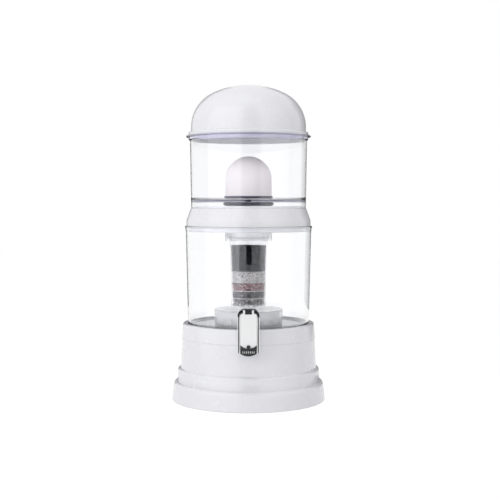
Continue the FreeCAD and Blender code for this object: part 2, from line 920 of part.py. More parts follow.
def make_stone_case():
    """The clear tray that holds the mineral stones, ribbed round its outside."""
    wall = size.case_wall
    body = revolved(
        "stone_case",
        [
            (0, tank_floor_z),
            (size.case_radius, tank_floor_z),
            (size.case_radius, case_top_z),
            (size.case_radius - wall, case_top_z),
            (size.case_radius - wall, tank_floor_z + wall),
            (0, tank_floor_z + wall),
        ],
    )
    rib = new_sketch(body, "rib", "XY_Plane", tank_floor_z + size.case_rib_start)
    half_width = size.case_rib_width * HALF
    draw_box(rib, size.case_radius - half_width, case_rib_top, -half_width, half_width)
    pad = extrude(body, "rib_pad", rib, size.case_rib_height)
    repeat_round(body, "ribs", pad, size.case_rib_count, upright_axis(body))
    return body


def make_stone_case_lid():
    """The clear slotted lid of the stone case, a cap that slips over the tray."""
    inner = size.case_radius + size.case_lid_fit
    outer = inner + size.case_lid_wall
    top_z = case_lid_top_z
    round_off = size.case_lid_round
    body = revolved(
        "stone_case_lid",
        [
            (0, case_top_z),
            (inner, case_top_z),
            (inner, case_top_z - size.case_lid_skirt),
            (outer, case_top_z - size.case_lid_skirt),
            (outer, top_z - round_off, (round_off, 1)),
            (outer - round_off, top_z),
            (0, top_z),
        ],
    )
    slot = new_sketch(body, "slot", "XY_Plane", top_z)
    half_width = size.case_slot_width * HALF
    start = size.case_slot_start
    draw_box(slot, start, start + size.case_slot_length, -half_width, half_width)
    cut = extrude(body, "slot_cut", slot, size.case_lid_top * 2, kind="Pocket")
    repeat_round(body, "slots", cut, size.case_slot_count, upright_axis(body))
    return body


def make_mineral_stones():
    """The bed of mineral stones in the case, as one low mound."""
    low = tank_floor_z + size.case_wall
    high = low + size.stone_bed_depth
    radius = size.case_radius - size.case_wall - size.stone_fit
    return revolved("mineral_stones", ring_disc(radius, low, high))


def ring_disc(radius, low, high):
    """The outline of a solid disc about the upright axis."""
    return [(0, low), (radius, low), (radius, high), (0, high)]


# The tap, forward along its level axis. A tap length is how far it lies in front of the stand's centre.
tap_boss_face = tank_foot_radius + size.tap_boss_proud
boss_back = tap_boss_face - size.tap_boss_thickness
flange_back = tap_boss_face + size.tap_gasket_thickness
flange_front = flange_back + size.shank_flange_thickness
block_back = flange_front + size.shank_neck_length
block_front = block_back + size.tap_depth
slot_floor = block_front - size.tap_slot_depth
chamber_front = slot_floor - size.tap_front_wall
chamber_back = chamber_front - size.tap_chamber_length
seat_back = chamber_back - size.seat_thickness
shank_end = boss_back - size.shank_tail
inner_gasket_back = boss_back - size.inner_gasket_thickness
half_tap = size.tap_width * HALF
half_slot = half_tap - size.tap_cheek
tap_top_z = tap_axis_z + size.tap_top_rise
rail_low_z = tap_axis_z - size.tap_rail_drop
block_low_z = tap_axis_z - size.tap_block_drop
slot_top_z = tap_top_z - size.tap_top_wall
pivot_z = tap_axis_z + size.pivot_rise
pivot_front = block_front - size.pivot_setback


def make_tap_body():
    """The chromed tap body: a hollow shank, an arched block with two long cheeks, and a nozzle."""
    body = tap_turned(
        "tap_body",
        [
            (-shank_end, 0),
            (-shank_end, size.shank_radius),
            (-flange_back, size.shank_radius),
            (-flange_back, size.tap_gasket_radius),
            (-flange_front, size.tap_gasket_radius),
            (-flange_front, size.shank_neck_radius),
            (-block_back, size.shank_neck_radius),
            (-block_back, 0),
        ],
    )
    round_off = size.tap_arch_round
    block = new_sketch(body, "block", "XZ_Plane", block_back)
    draw_outline(
        block,
        [
            (-half_tap, rail_low_z),
            (half_tap, rail_low_z),
            (half_tap, tap_top_z - round_off, (round_off, 1)),
            (half_tap - round_off, tap_top_z),
            (round_off - half_tap, tap_top_z, (round_off, 1)),
            (-half_tap, tap_top_z - round_off),
        ],
    )
    extrude(body, "block_pad", block, size.tap_depth)
    below = rail_low_z - size.tap_cheek
    slot_round = size.tap_slot_round
    slot = new_sketch(body, "slot", "XZ_Plane", block_front)
    draw_outline(
        slot,
        [
            (-half_slot, below),
            (half_slot, below),
            (half_slot, slot_top_z - slot_round, (slot_round, 1)),
            (half_slot - slot_round, slot_top_z),
            (slot_round - half_slot, slot_top_z, (slot_round, 1)),
            (-half_slot, slot_top_z - slot_round),
        ],
    )
    extrude(body, "slot_cut", slot, size.tap_slot_depth, kind="Pocket")
    under = new_sketch(body, "under", "XZ_Plane", block_front)
    draw_box(under, -half_slot, half_slot, below, block_low_z)
    extrude(body, "under_cut", under, size.tap_depth, kind="Pocket")
    notch = new_sketch(body, "notch", "XZ_Plane", block_front)
    half_notch = size.tap_notch_width * HALF
    draw_box(notch, -half_notch, half_notch, slot_top_z - slot_round, tap_top_z + size.tap_cheek)
    extrude(body, "notch_cut", notch, size.tap_slot_depth, kind="Pocket")
    nozzle_middle = chamber_back + size.tap_chamber_length * HALF
    nozzle = new_sketch(body, "nozzle", "XY_Plane", block_low_z - size.nozzle_length)
    draw_circle(nozzle, 0, -nozzle_middle, size.nozzle_radius)
    extrude(body, "nozzle_pad", nozzle, size.nozzle_length + size.tap_cheek)
    waterway = new_sketch(body, "waterway", "YZ_Plane", rise=tap_axis_z)
    draw_outline(
        waterway,
        [
            (-shank_end, 0),
            (-shank_end, size.shank_bore_radius),
            (-seat_back, size.shank_bore_radius),
            (-seat_back, size.seat_radius),
            (-chamber_back, size.seat_radius),
            (-chamber_back, size.tap_chamber_radius),
            (-chamber_front, size.tap_chamber_radius),
            (-chamber_front, size.rod_radius + size.rod_guide_fit),
            (-slot_floor, size.rod_radius + size.rod_guide_fit),
            (-slot_floor, 0),
        ],
    )
    turn_round(body, "waterway_cut", waterway, kind="Groove", axis="H_Axis")
    outlet = new_sketch(body, "outlet", "XY_Plane", tap_axis_z)
    draw_circle(outlet, 0, -nozzle_middle, size.nozzle_bore_radius)
    extrude(body, "outlet_cut", outlet, size.tap_block_drop + size.nozzle_length * 2, kind="Pocket")
    pin_hole = new_sketch(body, "pin_hole", "YZ_Plane")
    draw_circle(pin_hole, -pivot_front, pivot_z, size.pin_radius + size.pin_fit)
    extrude(body, "pin_hole_cut", pin_hole, size.tap_width * 2, kind="Pocket", both_ways=True)
    return body


def make_tap_gaskets():
    """The washers on the shank, outside and inside the tank's wall."""
    inner = size.shank_radius + size.gasket_fit
    for label, front, back in (
        ("tap_outer_gasket", flange_back, tap_boss_face),
        ("tap_inner_gasket", boss_back, inner_gasket_back),
    ):
        outer = size.tap_gasket_radius
        tap_turned(label, [(-front, inner), (-front, outer), (-back, outer), (-back, inner)])


def make_tap_nut():
    """The hexagonal nut that clamps the shank from inside the tank."""
    body = new_body("tap_nut")
    corner = size.tap_nut_radius
    half = corner * HALF
    flat = corner * math.cos(math.pi / 6)
    hexagon = new_sketch(body, "hexagon", "XZ_Plane", inner_gasket_back, tap_axis_z)
    draw_outline(hexagon, [(corner, 0), (half, flat), (-half, flat), (-corner, 0), (-half, -flat), (half, -flat)])
    extrude(body, "hexagon_pad", hexagon, size.tap_nut_height, reverse=True)
    hole = new_sketch(body, "hole", "XZ_Plane", inner_gasket_back, tap_axis_z)
    draw_circle(hole, 0, 0, size.shank_radius + size.thread_fit)
    extrude(body, "hole_cut", hole, size.tap_nut_height, kind="Pocket")
    return body


half_barrel = size.barrel_width * HALF
lever_back = block_front + size.lever_proud - size.lever_thickness
half_lever = half_slot - size.lever_side_gap
lever_top_z = tap_axis_z + size.lever_top_rise
lever_side_z = tap_axis_z - size.lever_drop
knuckle_start = half_barrel + size.barrel_gap


def make_tap_lever():
    """The white push lever: a plate with a curved chin, two hinge knuckles and a boss that meets the plunger."""
    body = new_body("tap_lever")
    plate = new_sketch(body, "plate", "XZ_Plane", lever_back)
    notch_z = lever_top_z - size.lever_notch_depth
    top_round = size.lever_top_round
    draw_outline(
        plate,
        [
            (-half_lever, lever_side_z, (size.lever_chin_radius, 1)),
            (half_lever, lever_side_z),
            (half_lever, lever_top_z - top_round, (top_round, 1)),
            (half_lever - top_round, lever_top_z),
            (knuckle_start, lever_top_z),
            (knuckle_start, notch_z),
            (-knuckle_start, notch_z),
            (-knuckle_start, lever_top_z),
            (top_round - half_lever, lever_top_z, (top_round, 1)),
            (-half_lever, lever_top_z - top_round),
        ],
    )
    extrude(body, "plate_pad", plate, size.lever_thickness)
    plate_front = lever_back + size.lever_thickness
    for name, side in (("left", -1), ("right", 1)):
        place = (knuckle_start + size.knuckle_width * HALF) * side
        tab = new_sketch(body, f"{name}_tab", "YZ_Plane", place)
        draw_box(tab, -plate_front, -pivot_front, notch_z, pivot_z)
        extrude(body, f"{name}_tab_pad", tab, size.knuckle_width, both_ways=True)
        knuckle = new_sketch(body, f"{name}_knuckle", "YZ_Plane", place)
        draw_circle(knuckle, -pivot_front, pivot_z, size.knuckle_radius)
        extrude(body, f"{name}_knuckle_pad", knuckle, size.knuckle_width, both_ways=True)
    boss = new_sketch(body, "boss", "XZ_Plane", lever_back, tap_axis_z)
    draw_circle(boss, 0, 0, size.boss_radius)
    extrude(body, "boss_pad", boss, size.boss_length, reverse=True)
    hole = new_sketch(body, "pin_hole", "YZ_Plane")
    draw_circle(hole, -pivot_front, pivot_z, size.pin_radius + size.lever_fit)
    extrude(body, "pin_hole_cut", hole, size.tap_width * 2, kind="Pocket", both_ways=True)
    return body


def make_lever_grip():
    """The black pad on the lever's chin, a crescent with a round stud and seven upright ribs."""
    body = new_body("lever_grip")
    front = lever_back + size.lever_thickness
    half = half_lever - size.grip_inset
    low_z = lever_side_z + size.grip_inset
    horn_z = lever_side_z + size.grip_horn_rise
    crescent = new_sketch(body, "crescent", "XZ_Plane", front)
    draw_outline(
        crescent,
        [
            (-half, low_z, (size.lever_chin_radius - size.grip_inset, 1)),
            (half, low_z),
            (half, horn_z, (size.grip_hollow_radius, -1)),
            (-half, horn_z),
        ],
    )
    extrude(body, "crescent_pad", crescent, size.grip_thickness)
    stud = new_sketch(body, "stud", "XZ_Plane", front)
    draw_circle(stud, 0, lever_side_z + size.grip_stud_rise, size.grip_stud_radius)
    extrude(body, "stud_pad", stud, size.grip_thickness + size.grip_stud_proud)
    rib_z = low_z + size.grip_rib_rise
    half_width = size.grip_rib_width * HALF
    ribs = new_sketch(body, "ribs", "XZ_Plane", front)
    for step in (-3, -2, -1, 0, 1, 2, 3):
        middle = size.grip_rib_pitch * step
        draw_box(ribs, middle - half_width, middle + half_width, rib_z, rib_z + size.grip_rib_height)
    extrude(body, "ribs_pad", ribs, size.grip_thickness + size.grip_rib_proud)
    return body


def make_lever_pin():
    """The steel pin that the lever turns on, from cheek to cheek."""
    body = new_body("lever_pin")
    section = new_sketch(body, "section", "YZ_Plane")
    draw_circle(section, -pivot_front, pivot_z, size.pin_radius)
    extrude(body, "section_pad", section, half_slot * 2, both_ways=True)
    return body


def make_hinge_barrel():
    """The black grooved barrel round the pin, between the lever's knuckles."""
    body = new_body("hinge_barrel")
    section = new_sketch(body, "section", "YZ_Plane")
    draw_circle(section, -pivot_front, pivot_z, size.barrel_radius)
    draw_circle(section, -pivot_front, pivot_z, size.pin_radius + size.pin_fit)
    extrude(body, "section_pad", section, size.barrel_width, both_ways=True)
    for name, steps in (("left", -1), ("middle", 0), ("right", 1)):
        groove = new_sketch(body, f"{name}_groove", "YZ_Plane", size.barrel_groove_pitch * steps)
        draw_circle(groove, -pivot_front, pivot_z, size.barrel_radius + size.barrel_groove)
        draw_circle(groove, -pivot_front, pivot_z, size.barrel_radius - size.barrel_groove)
        extrude(body, f"{name}_groove_cut", groove, size.barrel_groove_width, kind="Pocket", both_ways=True)
    return body


# The valve inside the shank
seal_front = seat_back - size.touch_gap * HALF * HALF
seal_back = seal_front - size.seal_thickness
head_back = seal_back - size.head_thickness
plunger_tip = lever_back - size.boss_length - size.touch_gap
cup_front = shank_end + size.strainer_cup_length
cup_radius = size.shank_bore_radius - size.strainer_cup_fit


def make_valve():
    """The plunger, its rubber seal, the ring round its rod, the return spring and the inlet strainer."""
    rod = size.rod_radius
    tail_end = head_back - size.tail_rod_length
    tap_turned(
        "valve_plunger",
        [
            (-plunger_tip, 0),
            (-plunger_tip, rod),
            (-seal_back, rod),
            (-seal_back, size.head_radius),
            (-head_back, size.head_radius),
            (-head_back, rod),
            (-tail_end, rod),
            (-tail_end, 0),
        ],
    )
    hole = rod + size.rod_ring_fit
    outer = size.seal_radius
    tap_turned("valve_seal", [(-seal_front, hole), (-seal_front, outer), (-seal_back, outer), (-seal_back, hole)])
    wire = size.rod_ring_wire
    rod_ring = new_body("rod_ring")
    section = new_sketch(rod_ring, "section", "YZ_Plane", rise=tap_axis_z)
    draw_box(section, -chamber_front, wire * 2 - chamber_front, hole, hole + wire * 2)
    turn_round(rod_ring, "turned", section, axis="H_Axis")
    spring = new_body("valve_spring")
    coil_wire = size.spring_wire
    section = new_sketch(spring, "section", "YZ_Plane", rise=tap_axis_z)
    draw_circle(section, coil_wire - head_back, size.spring_radius, coil_wire)
    helix = spring.newObject("PartDesign::AdditiveHelix", "valve_spring_coil")
    helix.Profile = section
    helix.ReferenceAxis = (section, ["H_Axis"])
    helix.Mode = 2
    bind(helix, "Height", head_back - cup_front - coil_wire * 2)
    bind(helix, "Turns", size.spring_turns)
    doc.recompute()
    cup_inner = cup_radius - size.strainer_cup_wall
    cup_floor = cup_front - size.strainer_cup_floor
    strainer = tap_turned(
        "inlet_strainer",
        [
            (-cup_front, 0),
            (-cup_front, cup_radius),
            (-shank_end, cup_radius),
            (-shank_end, cup_inner),
            (-cup_floor, cup_inner),
            (-cup_floor, 0),
        ],
    )
    hole = new_sketch(strainer, "hole", "XZ_Plane", cup_front, tap_axis_z)
    draw_circle(hole, size.strainer_hole_circle, 0, size.strainer_hole_radius)
    cut = extrude(strainer, "hole_cut", hole, size.strainer_cup_floor * 2, kind="Pocket")
    repeat_round(strainer, "holes", cut, size.strainer_hole_count, (hole, ["N_Axis"]))


def check_and_export():
    """Stops on any feature in error or any broken solid, then writes one file for each body."""
    doc.recompute()
    for item in doc.Objects:
        if "Invalid" in item.State or "Error" in item.State:
            sys.exit(f"{item.Name} is in error")
    os.makedirs("parts", exist_ok=True)
    for body in doc.Objects:
        if body.TypeId != "PartDesign::Body":
            continue
        shape = body.Shape
        if shape.isNull() or not shape.isValid() or len(shape.Solids) != 1:
            sys.exit(f"{body.Label} isn't one sound solid")
        shape.exportStep(f"parts/{body.Label}.step")


def main():
    make_base_shell()
    make_lower_tank()
    make_stone_case()
    make_stone_case_lid()
    make_mineral_stones()
    make_tap_body()
    make_tap_gaskets()
    make_tap_nut()
    make_tap_lever()
    make_lever_grip()
    make_lever_pin()
    make_hinge_barrel()
    make_valve()
    make_collar()
    make_upper_tank()
    make_ceramic_dome()
    make_dome_base_plate()
    make_floor_gaskets()
    make_cartridge_holder()
    make_wing_nut()
    make_cartridge_body()
    make_neck_ring()
    make_media()
    make_cartridge_strainer()
    make_lid()
    check_and_export()


main()
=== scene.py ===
# %% [markdown]
# # A gravity water filter, piece by piece
#
# The object is a stack that is nearly all round: a stepped stand, a clear tank with a push tap, a white
# collar, a second clear tank with a ceramic filter, and a domed lid. A clear cartridge with layers of
# grains hangs through the middle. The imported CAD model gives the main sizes, the small parts and the
# moving bodies, and this script dresses it. It starts by loading that model.

# %% Load the frame
import math

import bmesh
import bpy
import numpy as np
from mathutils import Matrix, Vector


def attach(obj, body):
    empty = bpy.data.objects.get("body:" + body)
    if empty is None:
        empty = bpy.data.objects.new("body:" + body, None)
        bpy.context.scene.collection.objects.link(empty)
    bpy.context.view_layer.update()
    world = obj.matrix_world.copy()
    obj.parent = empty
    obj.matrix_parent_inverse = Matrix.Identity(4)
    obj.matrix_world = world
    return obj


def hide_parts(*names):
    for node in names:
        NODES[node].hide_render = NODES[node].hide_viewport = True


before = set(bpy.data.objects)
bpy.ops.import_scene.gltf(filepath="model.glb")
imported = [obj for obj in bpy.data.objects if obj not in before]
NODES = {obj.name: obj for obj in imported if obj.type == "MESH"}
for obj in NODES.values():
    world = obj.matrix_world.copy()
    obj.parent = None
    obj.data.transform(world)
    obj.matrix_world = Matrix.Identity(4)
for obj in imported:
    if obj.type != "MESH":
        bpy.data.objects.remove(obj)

MM = 0.001
TURN = 2 * math.pi
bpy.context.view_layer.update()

# %% [markdown]
# ## How a piece is made
#
# A moulded tank, a lid and a stand are all turned forms, so most pieces here are one outline carried
# round an axis. The outline is a list of corners, each with a radius, and the corners are rounded before
# the turn, because a real moulding has no sharp edge and a rounded edge is what catches the light.
# Whole arrays are worked out at once with numpy, and from_pydata puts them into a mesh.


# %% Rounded outlines
# A rounding takes less than half of the shorter edge beside it, and the point that keeps a flat flat lies a
# little further on. A corner whose half angle is nearly a quarter turn counts as straight.
EDGE_SHARE, FLAT_SHARE, NEARLY_STRAIGHT = 0.46, 0.04, 1.55


def rounded(corners, steps=5, closed=True):
    """Points along an outline whose corners are rounded. A corner is (radius, height) or (radius, height,
    rounding), in millimetres. Each rounding is an arc that touches both edges: its centre lies on the line
    that halves the corner, at rounding / sin(half angle). One more point on each edge keeps flats flat."""
    points = []
    count = len(corners)
    for i, corner in enumerate(corners):
        here = np.array(corner[:2], float)
        if len(corner) < 3 or corner[2] <= 0 or (not closed and i in (0, count - 1)):
            points.append(here)
            continue
        before = np.array(corners[i - 1][:2], float) - here
        after = np.array(corners[(i + 1) % count][:2], float) - here
        room = EDGE_SHARE * min(np.linalg.norm(before), np.linalg.norm(after))
        before /= np.linalg.norm(before)
        after /= np.linalg.norm(after)
        half = math.acos(np.clip(before @ after, -1, 1)) / 2
        if half > NEARLY_STRAIGHT:
            points.append(here)
            continue
        reach = min(corner[2] / math.tan(half), room)
        radius = reach * math.tan(half)
        middle = (before + after) / np.linalg.norm(before + after)
        centre = here + middle * radius / math.sin(half)
        start, end = here + before * reach - centre, here + after * reach - centre
        share = np.linspace(0, 1, steps + 1)[:, None]
        sweep = math.acos(np.clip(start @ end / radius**2, -1, 1))
        arc = (np.sin((1 - share) * sweep) * start + np.sin(share * sweep) * end) / math.sin(sweep)
        points.append(here + before * (reach + FLAT_SHARE * room))
        points.extend(centre + arc)
        points.append(here + after * (reach + FLAT_SHARE * room))
    return np.array(points)


def arc(centre, radius, start_deg, end_deg, steps):
    """Points on a circle's arc: centre + radius * (cos a, sin a), with a from the start to the end angle."""
    a = np.radians(np.linspace(start_deg, end_deg, steps))
    return np.c_[centre[0] + radius * np.cos(a), centre[1] + radius * np.sin(a)]


SQUARE = [(0, 0, 1), (9, 0, 1), (9, 9, 1), (0, 9, 1)]
print("a square with its corners rounded by 1 mm has", len(rounded(SQUARE)), "points")


# %% [markdown]
# A mesh made from arrays still has to join the frame: it rides on a body, it may stand for one of the CAD
# nodes, and it takes a finish. One helper does this for every piece.


# %% Pieces and turned forms
def add_piece(name, verts, faces, finish, body, replaces=(), smooth=True):
    """Makes a mesh object at the origin from an array of places in metres, and hands it to the frame."""
    mesh = bpy.data.meshes.new(name)
    mesh.from_pydata(np.asarray(verts).tolist(), [], [list(map(int, f)) for f in faces])
    mesh.materials.append(finish)
    shaped = bmesh.new()
    shaped.from_mesh(mesh)
    bmesh.ops.recalc_face_normals(shaped, faces=shaped.faces)
    shaped.to_mesh(mesh)
    shaped.free()
    if smooth:
        mesh.shade_smooth()
    piece = bpy.data.objects.new(name, mesh)
    bpy.context.scene.collection.objects.link(piece)
    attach(piece, body)
    if replaces:
        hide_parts(*replaces)
    return piece


def grid_faces(rows, columns, wrap_rows=True):
    """Four-sided faces between neighbouring points of a grid whose columns run round and whose rows may
    also close on themselves."""
    row = np.arange(rows if wrap_rows else rows - 1)[:, None]
    column = np.arange(columns)[None, :]
    below = row * columns
    above = ((row + 1) % rows) * columns
    beside = (column + 1) % columns
    quads = np.stack([below + column, below + beside, above + beside, above + column], -1)
    return quads.reshape(-1, 4)


def turned_arrays(points, segments=192, relief=None):
    """Carries an outline of (radius, height) points round the upright axis: x = r cos a, y = r sin a.
    An outline that starts and ends on the axis gets one point at each end, and any other closes on itself.
    relief(angle, radius, height) gives how far each point stands out from its radius."""
    points = np.asarray(points, float)
    solid = points[0, 0] < 1e-6 and points[-1, 0] < 1e-6
    body = points[1:-1] if solid else points
    angle = np.linspace(0, TURN, segments, endpoint=False)[None, :]
    radius, height = body[:, 0][:, None], body[:, 1][:, None]
    around = np.broadcast_to(angle, (len(body), segments))
    out = radius + (relief(around, radius, height) if relief else 0.0)
    verts = np.stack([out * np.cos(around), out * np.sin(around), height + 0 * around], -1).reshape(-1, 3)
    faces = list(grid_faces(len(body), segments, wrap_rows=not solid))
    if solid:
        low, high = len(verts), len(verts) + 1
        verts = np.vstack([verts, [0, 0, points[0, 1]], [0, 0, points[-1, 1]]])
        ring = np.arange(segments)
        after = (ring + 1) % segments
        last = (len(body) - 1) * segments
        faces += [(low, b, a) for a, b in zip(ring, after)]
        faces += [(high, last + a, last + b) for a, b in zip(ring, after)]
    return verts * MM, faces


def turned(name, points, finish, body, replaces=(), segments=192, relief=None):
    """A turned piece about the upright axis. Its outline may run either way, as add_piece turns the faces
    outwards."""
    verts, faces = turned_arrays(points, segments, relief)
    return add_piece(name, verts, faces, finish, body, replaces)


# %% [markdown]
# ## Finishes
#
# Each finish is one Principled shader with a few nodes in front of it. Numbers that are the same all over
# are typed into the shader's own sockets. What changes over the surface, such as the faint waviness of a
# moulding or the tone of a grain, comes from noise that reads Object coordinates, so it stays on the piece.


# %% Shader helpers
# Cycles' noise runs from 0 to 1, but nearly all of it lies in this range.
NOISE_RANGE = (0.3, 0.7)


class Finish:
    """A material with its node tree at hand."""

    def __init__(self, name, colour, roughness, **sockets):
        self.material = bpy.data.materials.new(name)
        self.material.use_nodes = True
        self.tree = self.material.node_tree
        self.shader = self.tree.nodes["Principled BSDF"]
        self.place = self.tree.nodes.new("ShaderNodeTexCoord")
        self.shader.inputs["Base Color"].default_value = (*colour, 1)
        self.shader.inputs["Roughness"].default_value = roughness
        for socket, value in sockets.items():
            self.shader.inputs[socket.replace("_", " ")].default_value = value

    def node(self, kind, **settings):
        """A new node. A setting that the node doesn't have is the value of its socket of that name."""
        made = self.tree.nodes.new(kind)
        for key, value in settings.items():
            if hasattr(made, key):
                setattr(made, key, value)
            else:
                made.inputs[key.replace("_", " ")].default_value = value
        return made

    def join(self, source, target):
        self.tree.links.new(source, target)

    def noise(self, scale, detail, roughness=0.5, stretch=None):
        """Noise over Object coordinates, with its cells stretched by the three factors of stretch."""
        texture = self.node("ShaderNodeTexNoise", Scale=scale, Detail=detail, Roughness=roughness)
        source = self.place.outputs["Object"]
        if stretch:
            mapping = self.node("ShaderNodeMapping")
            mapping.inputs["Scale"].default_value = stretch
            self.join(source, mapping.inputs["Vector"])
            source = mapping.outputs["Vector"]
        self.join(source, texture.inputs["Vector"])
        return texture.outputs["Fac"]

    def ramp(self, value, *stops):
        """Colours by value. A stop is (place, colour)."""
        ramp = self.node("ShaderNodeValToRGB")
        elements = ramp.color_ramp.elements
        while len(elements) < len(stops):
            elements.new(0.5)
        for element, (place, colour) in zip(elements, stops):
            element.position = place
            element.color = (*colour, 1)
        self.join(value, ramp.inputs["Fac"])
        return ramp.outputs["Color"]

    def spread(self, value, start, end, low=0.0, high=1.0):
        """Carries a value that runs from start to end over to the range from low to high."""
        spread = self.node("ShaderNodeMapRange")
        for socket, number in zip(("From Min", "From Max", "To Min", "To Max"), (start, end, low, high)):
            spread.inputs[socket].default_value = number
        self.join(value, spread.inputs["Value"])
        return spread.outputs["Result"]

    def place_along(self, axis):
        """How far along one axis a point is, in metres."""
        split = self.node("ShaderNodeSeparateXYZ")
        self.join(self.place.outputs["Object"], split.inputs[0])
        return split.outputs[axis]

    def height_share(self, low, high):
        """How far up between two heights a point is, from 0 to 1."""
        return self.spread(self.place_along("Z"), low, high)

    def side_share(self, reach):
        """How far a point is from the middle plane, as a share of reach."""
        away = self.node("ShaderNodeMath", operation="ABSOLUTE")
        self.join(self.place_along("X"), away.inputs[0])
        return self.spread(away.outputs[0], 0, reach)

    def colour_from(self, colour):
        """Takes the base colour from a node."""
        self.join(colour, self.shader.inputs["Base Color"])

    def colour_between(self, value, dark, light):
        """A base colour that follows a noise from dark to light."""
        start, end = NOISE_RANGE
        self.colour_from(self.ramp(value, (start, dark), (end, light)))

    def roughness_between(self, value, low, high):
        """Roughness that follows a noise from low to high."""
        self.join(self.spread(value, *NOISE_RANGE, low, high), self.shader.inputs["Roughness"])

    def bump(self, height, distance):
        """Adds a bump whose heights are in metres, on top of any bump that is there already."""
        bump = self.node("ShaderNodeBump")
        bump.inputs["Distance"].default_value = distance
        normal = self.shader.inputs["Normal"]
        if normal.is_linked:
            self.join(normal.links[0].from_socket, bump.inputs["Normal"])
        self.join(height, bump.inputs["Height"])
        self.join(bump.outputs["Normal"], normal)

    def darken_with_depth(self, density, colour):
        """Takes light away along a ray's way inside the solid, so long ways through a wall come out dark."""
        loss = self.node("ShaderNodeVolumeAbsorption", Density=density)
        loss.inputs["Color"].default_value = (*colour, 1)
        self.join(loss.outputs[0], self.tree.nodes["Material Output"].inputs["Volume"])

    def let_lamps_through(self):
        """Lets lamp light straight through: the shader counts for every ray but a shadow ray."""
        path = self.node("ShaderNodeLightPath")
        clear = self.node("ShaderNodeBsdfTransparent")
        mix = self.node("ShaderNodeMixShader")
        self.join(path.outputs["Is Shadow Ray"], mix.inputs[0])
        self.join(self.shader.outputs[0], mix.inputs[1])
        self.join(clear.outputs[0], mix.inputs[2])
        self.join(mix.outputs[0], self.tree.nodes["Material Output"].inputs["Surface"])


def shades(base, spread):
    """A darker and a lighter colour about a base."""
    return [tuple(min(1, max(0, c * (1 + s))) for c in base) for s in (-spread, spread)]


# %% [markdown]
# The white pieces are glossy moulded plastic, slightly blue, with a thin clear gloss on top. Real ones are
# never perfectly even: tone and gloss drift a little, and the skin is faintly rippled where the mould
# filled. Slow noises give the drift and a ripple of a few hundredths of a millimetre, and a fine one adds a
# grain of a thousandth of a millimetre.


# %% White plastic
RIPPLE, SKIN_GRAIN = 0.04 * MM, 0.001 * MM


def white_plastic(name, colour, roughness):
    """Glossy white. A nearly even tone and the roughness follow slow noises, and two bumps are added."""
    finish = Finish(name, colour, roughness, IOR=1.5, Coat_Weight=0.25, Coat_Roughness=0.08)
    finish.colour_between(finish.noise(6, 1.5), *shades(colour, 0.004))
    finish.roughness_between(finish.noise(45, 2), roughness * 0.94, roughness * 1.08)
    finish.bump(finish.noise(11, 1), RIPPLE)
    finish.bump(finish.noise(1400, 2), SKIN_GRAIN)
    return finish.material


SHELL_WHITE = white_plastic("moulded_white", (0.78, 0.78, 0.815), 0.26)
LEVER_WHITE = white_plastic("lever_white", (0.86, 0.865, 0.87), 0.22)
FITTING_WHITE = white_plastic("fitting_white", (0.74, 0.74, 0.75), 0.4)


# %% [markdown]
# The tanks are clear styrene. It bends light, shows the moulding's slow waves, and its gloss changes in
# upright streaks. A transmitting shader on a mesh with two real walls gives the dark and bright lines at
# the edges that make it read as thick plastic. Real plastic also takes a little light away, most where a
# ray runs far inside a wall, so the tanks absorb light in their depth, and the upper tank's rim has a
# greyer tint of its own. A clear part would throw a black shadow, as the lamps' light isn't traced through
# it, so for shadow rays alone the shader is swapped for a transparent one.


# %% Clear plastic
LIGHT_LEFT = (0.25, 0.25, 0.4)
RIM_BLEND = 2 * MM


def clear_plastic(name, colour, wave, roughness=0.015, clarity=1.0, rim=None, depth=0):
    """Clear plastic. rim is a height and a colour that the tint grows to just above it, and depth is how
    strongly the solid absorbs light along a ray's way through it."""
    finish = Finish(name, colour, roughness, IOR=1.49, Transmission_Weight=clarity)
    if rim:
        height, tint = rim
        share = finish.height_share(height, height + RIM_BLEND)
        finish.colour_from(finish.ramp(share, (0, colour), (1, tint)))
    finish.roughness_between(finish.noise(35, 5, stretch=(1, 1, 0.25)), roughness * 0.5, roughness * 2)
    finish.bump(finish.noise(14, 1.5, stretch=(1, 1, 0.35)), wave)
    finish.let_lamps_through()
    if depth:
        finish.darken_with_depth(depth, LIGHT_LEFT)
    return finish.material


TANK_TINT, TANK_WAVE = (0.99, 0.995, 0.998), 0.2 * MM
RIM_BAND = (506.5 * MM, (0.84, 0.83, 0.92))
TANK_CLEAR = clear_plastic("tank_clear", TANK_TINT, TANK_WAVE, depth=3)
RIMMED_CLEAR = clear_plastic("rimmed_clear", TANK_TINT, TANK_WAVE, rim=RIM_BAND, depth=7)
CUP_CLEAR = clear_plastic("cup_clear", (0.96, 0.962, 0.975), 0.0001, 0.03)
CASE_CLEAR = clear_plastic("case_clear", (0.98, 0.982, 1.0), 0.0001, 0.05, 0.72)


# %% [markdown]
# The tap is plated, and its plating is thin over plastic, so it shows soft waves and a fine haze of wear.
# Its cheeks are crowned, and a real tap mirrors the dark of a room as an upright line on each. A white
# stage has no such dark to mirror, so the finish paints these lines: a painted reflection, dark and
# upright, on each cheek, and painted shade in the gap beside the lever. The pin and the spring are bare
# steel wire.


# %% Metals
# Distances from the middle plane in millimetres. The reach is a little more than half of the tap's width.
CHEEK_REACH = 20.5
# Painted bands: painted shade in the lever's gap, then a painted dark reflection on each cheek.
PAINTED_SHADE_AND_REFLECTION_BANDS = ((15.2, 15.7), (17.3, 18.8))
PAINTED_BAND_DARK, PAINTED_BAND_BLEND = (0.012, 0.012, 0.015), 0.3


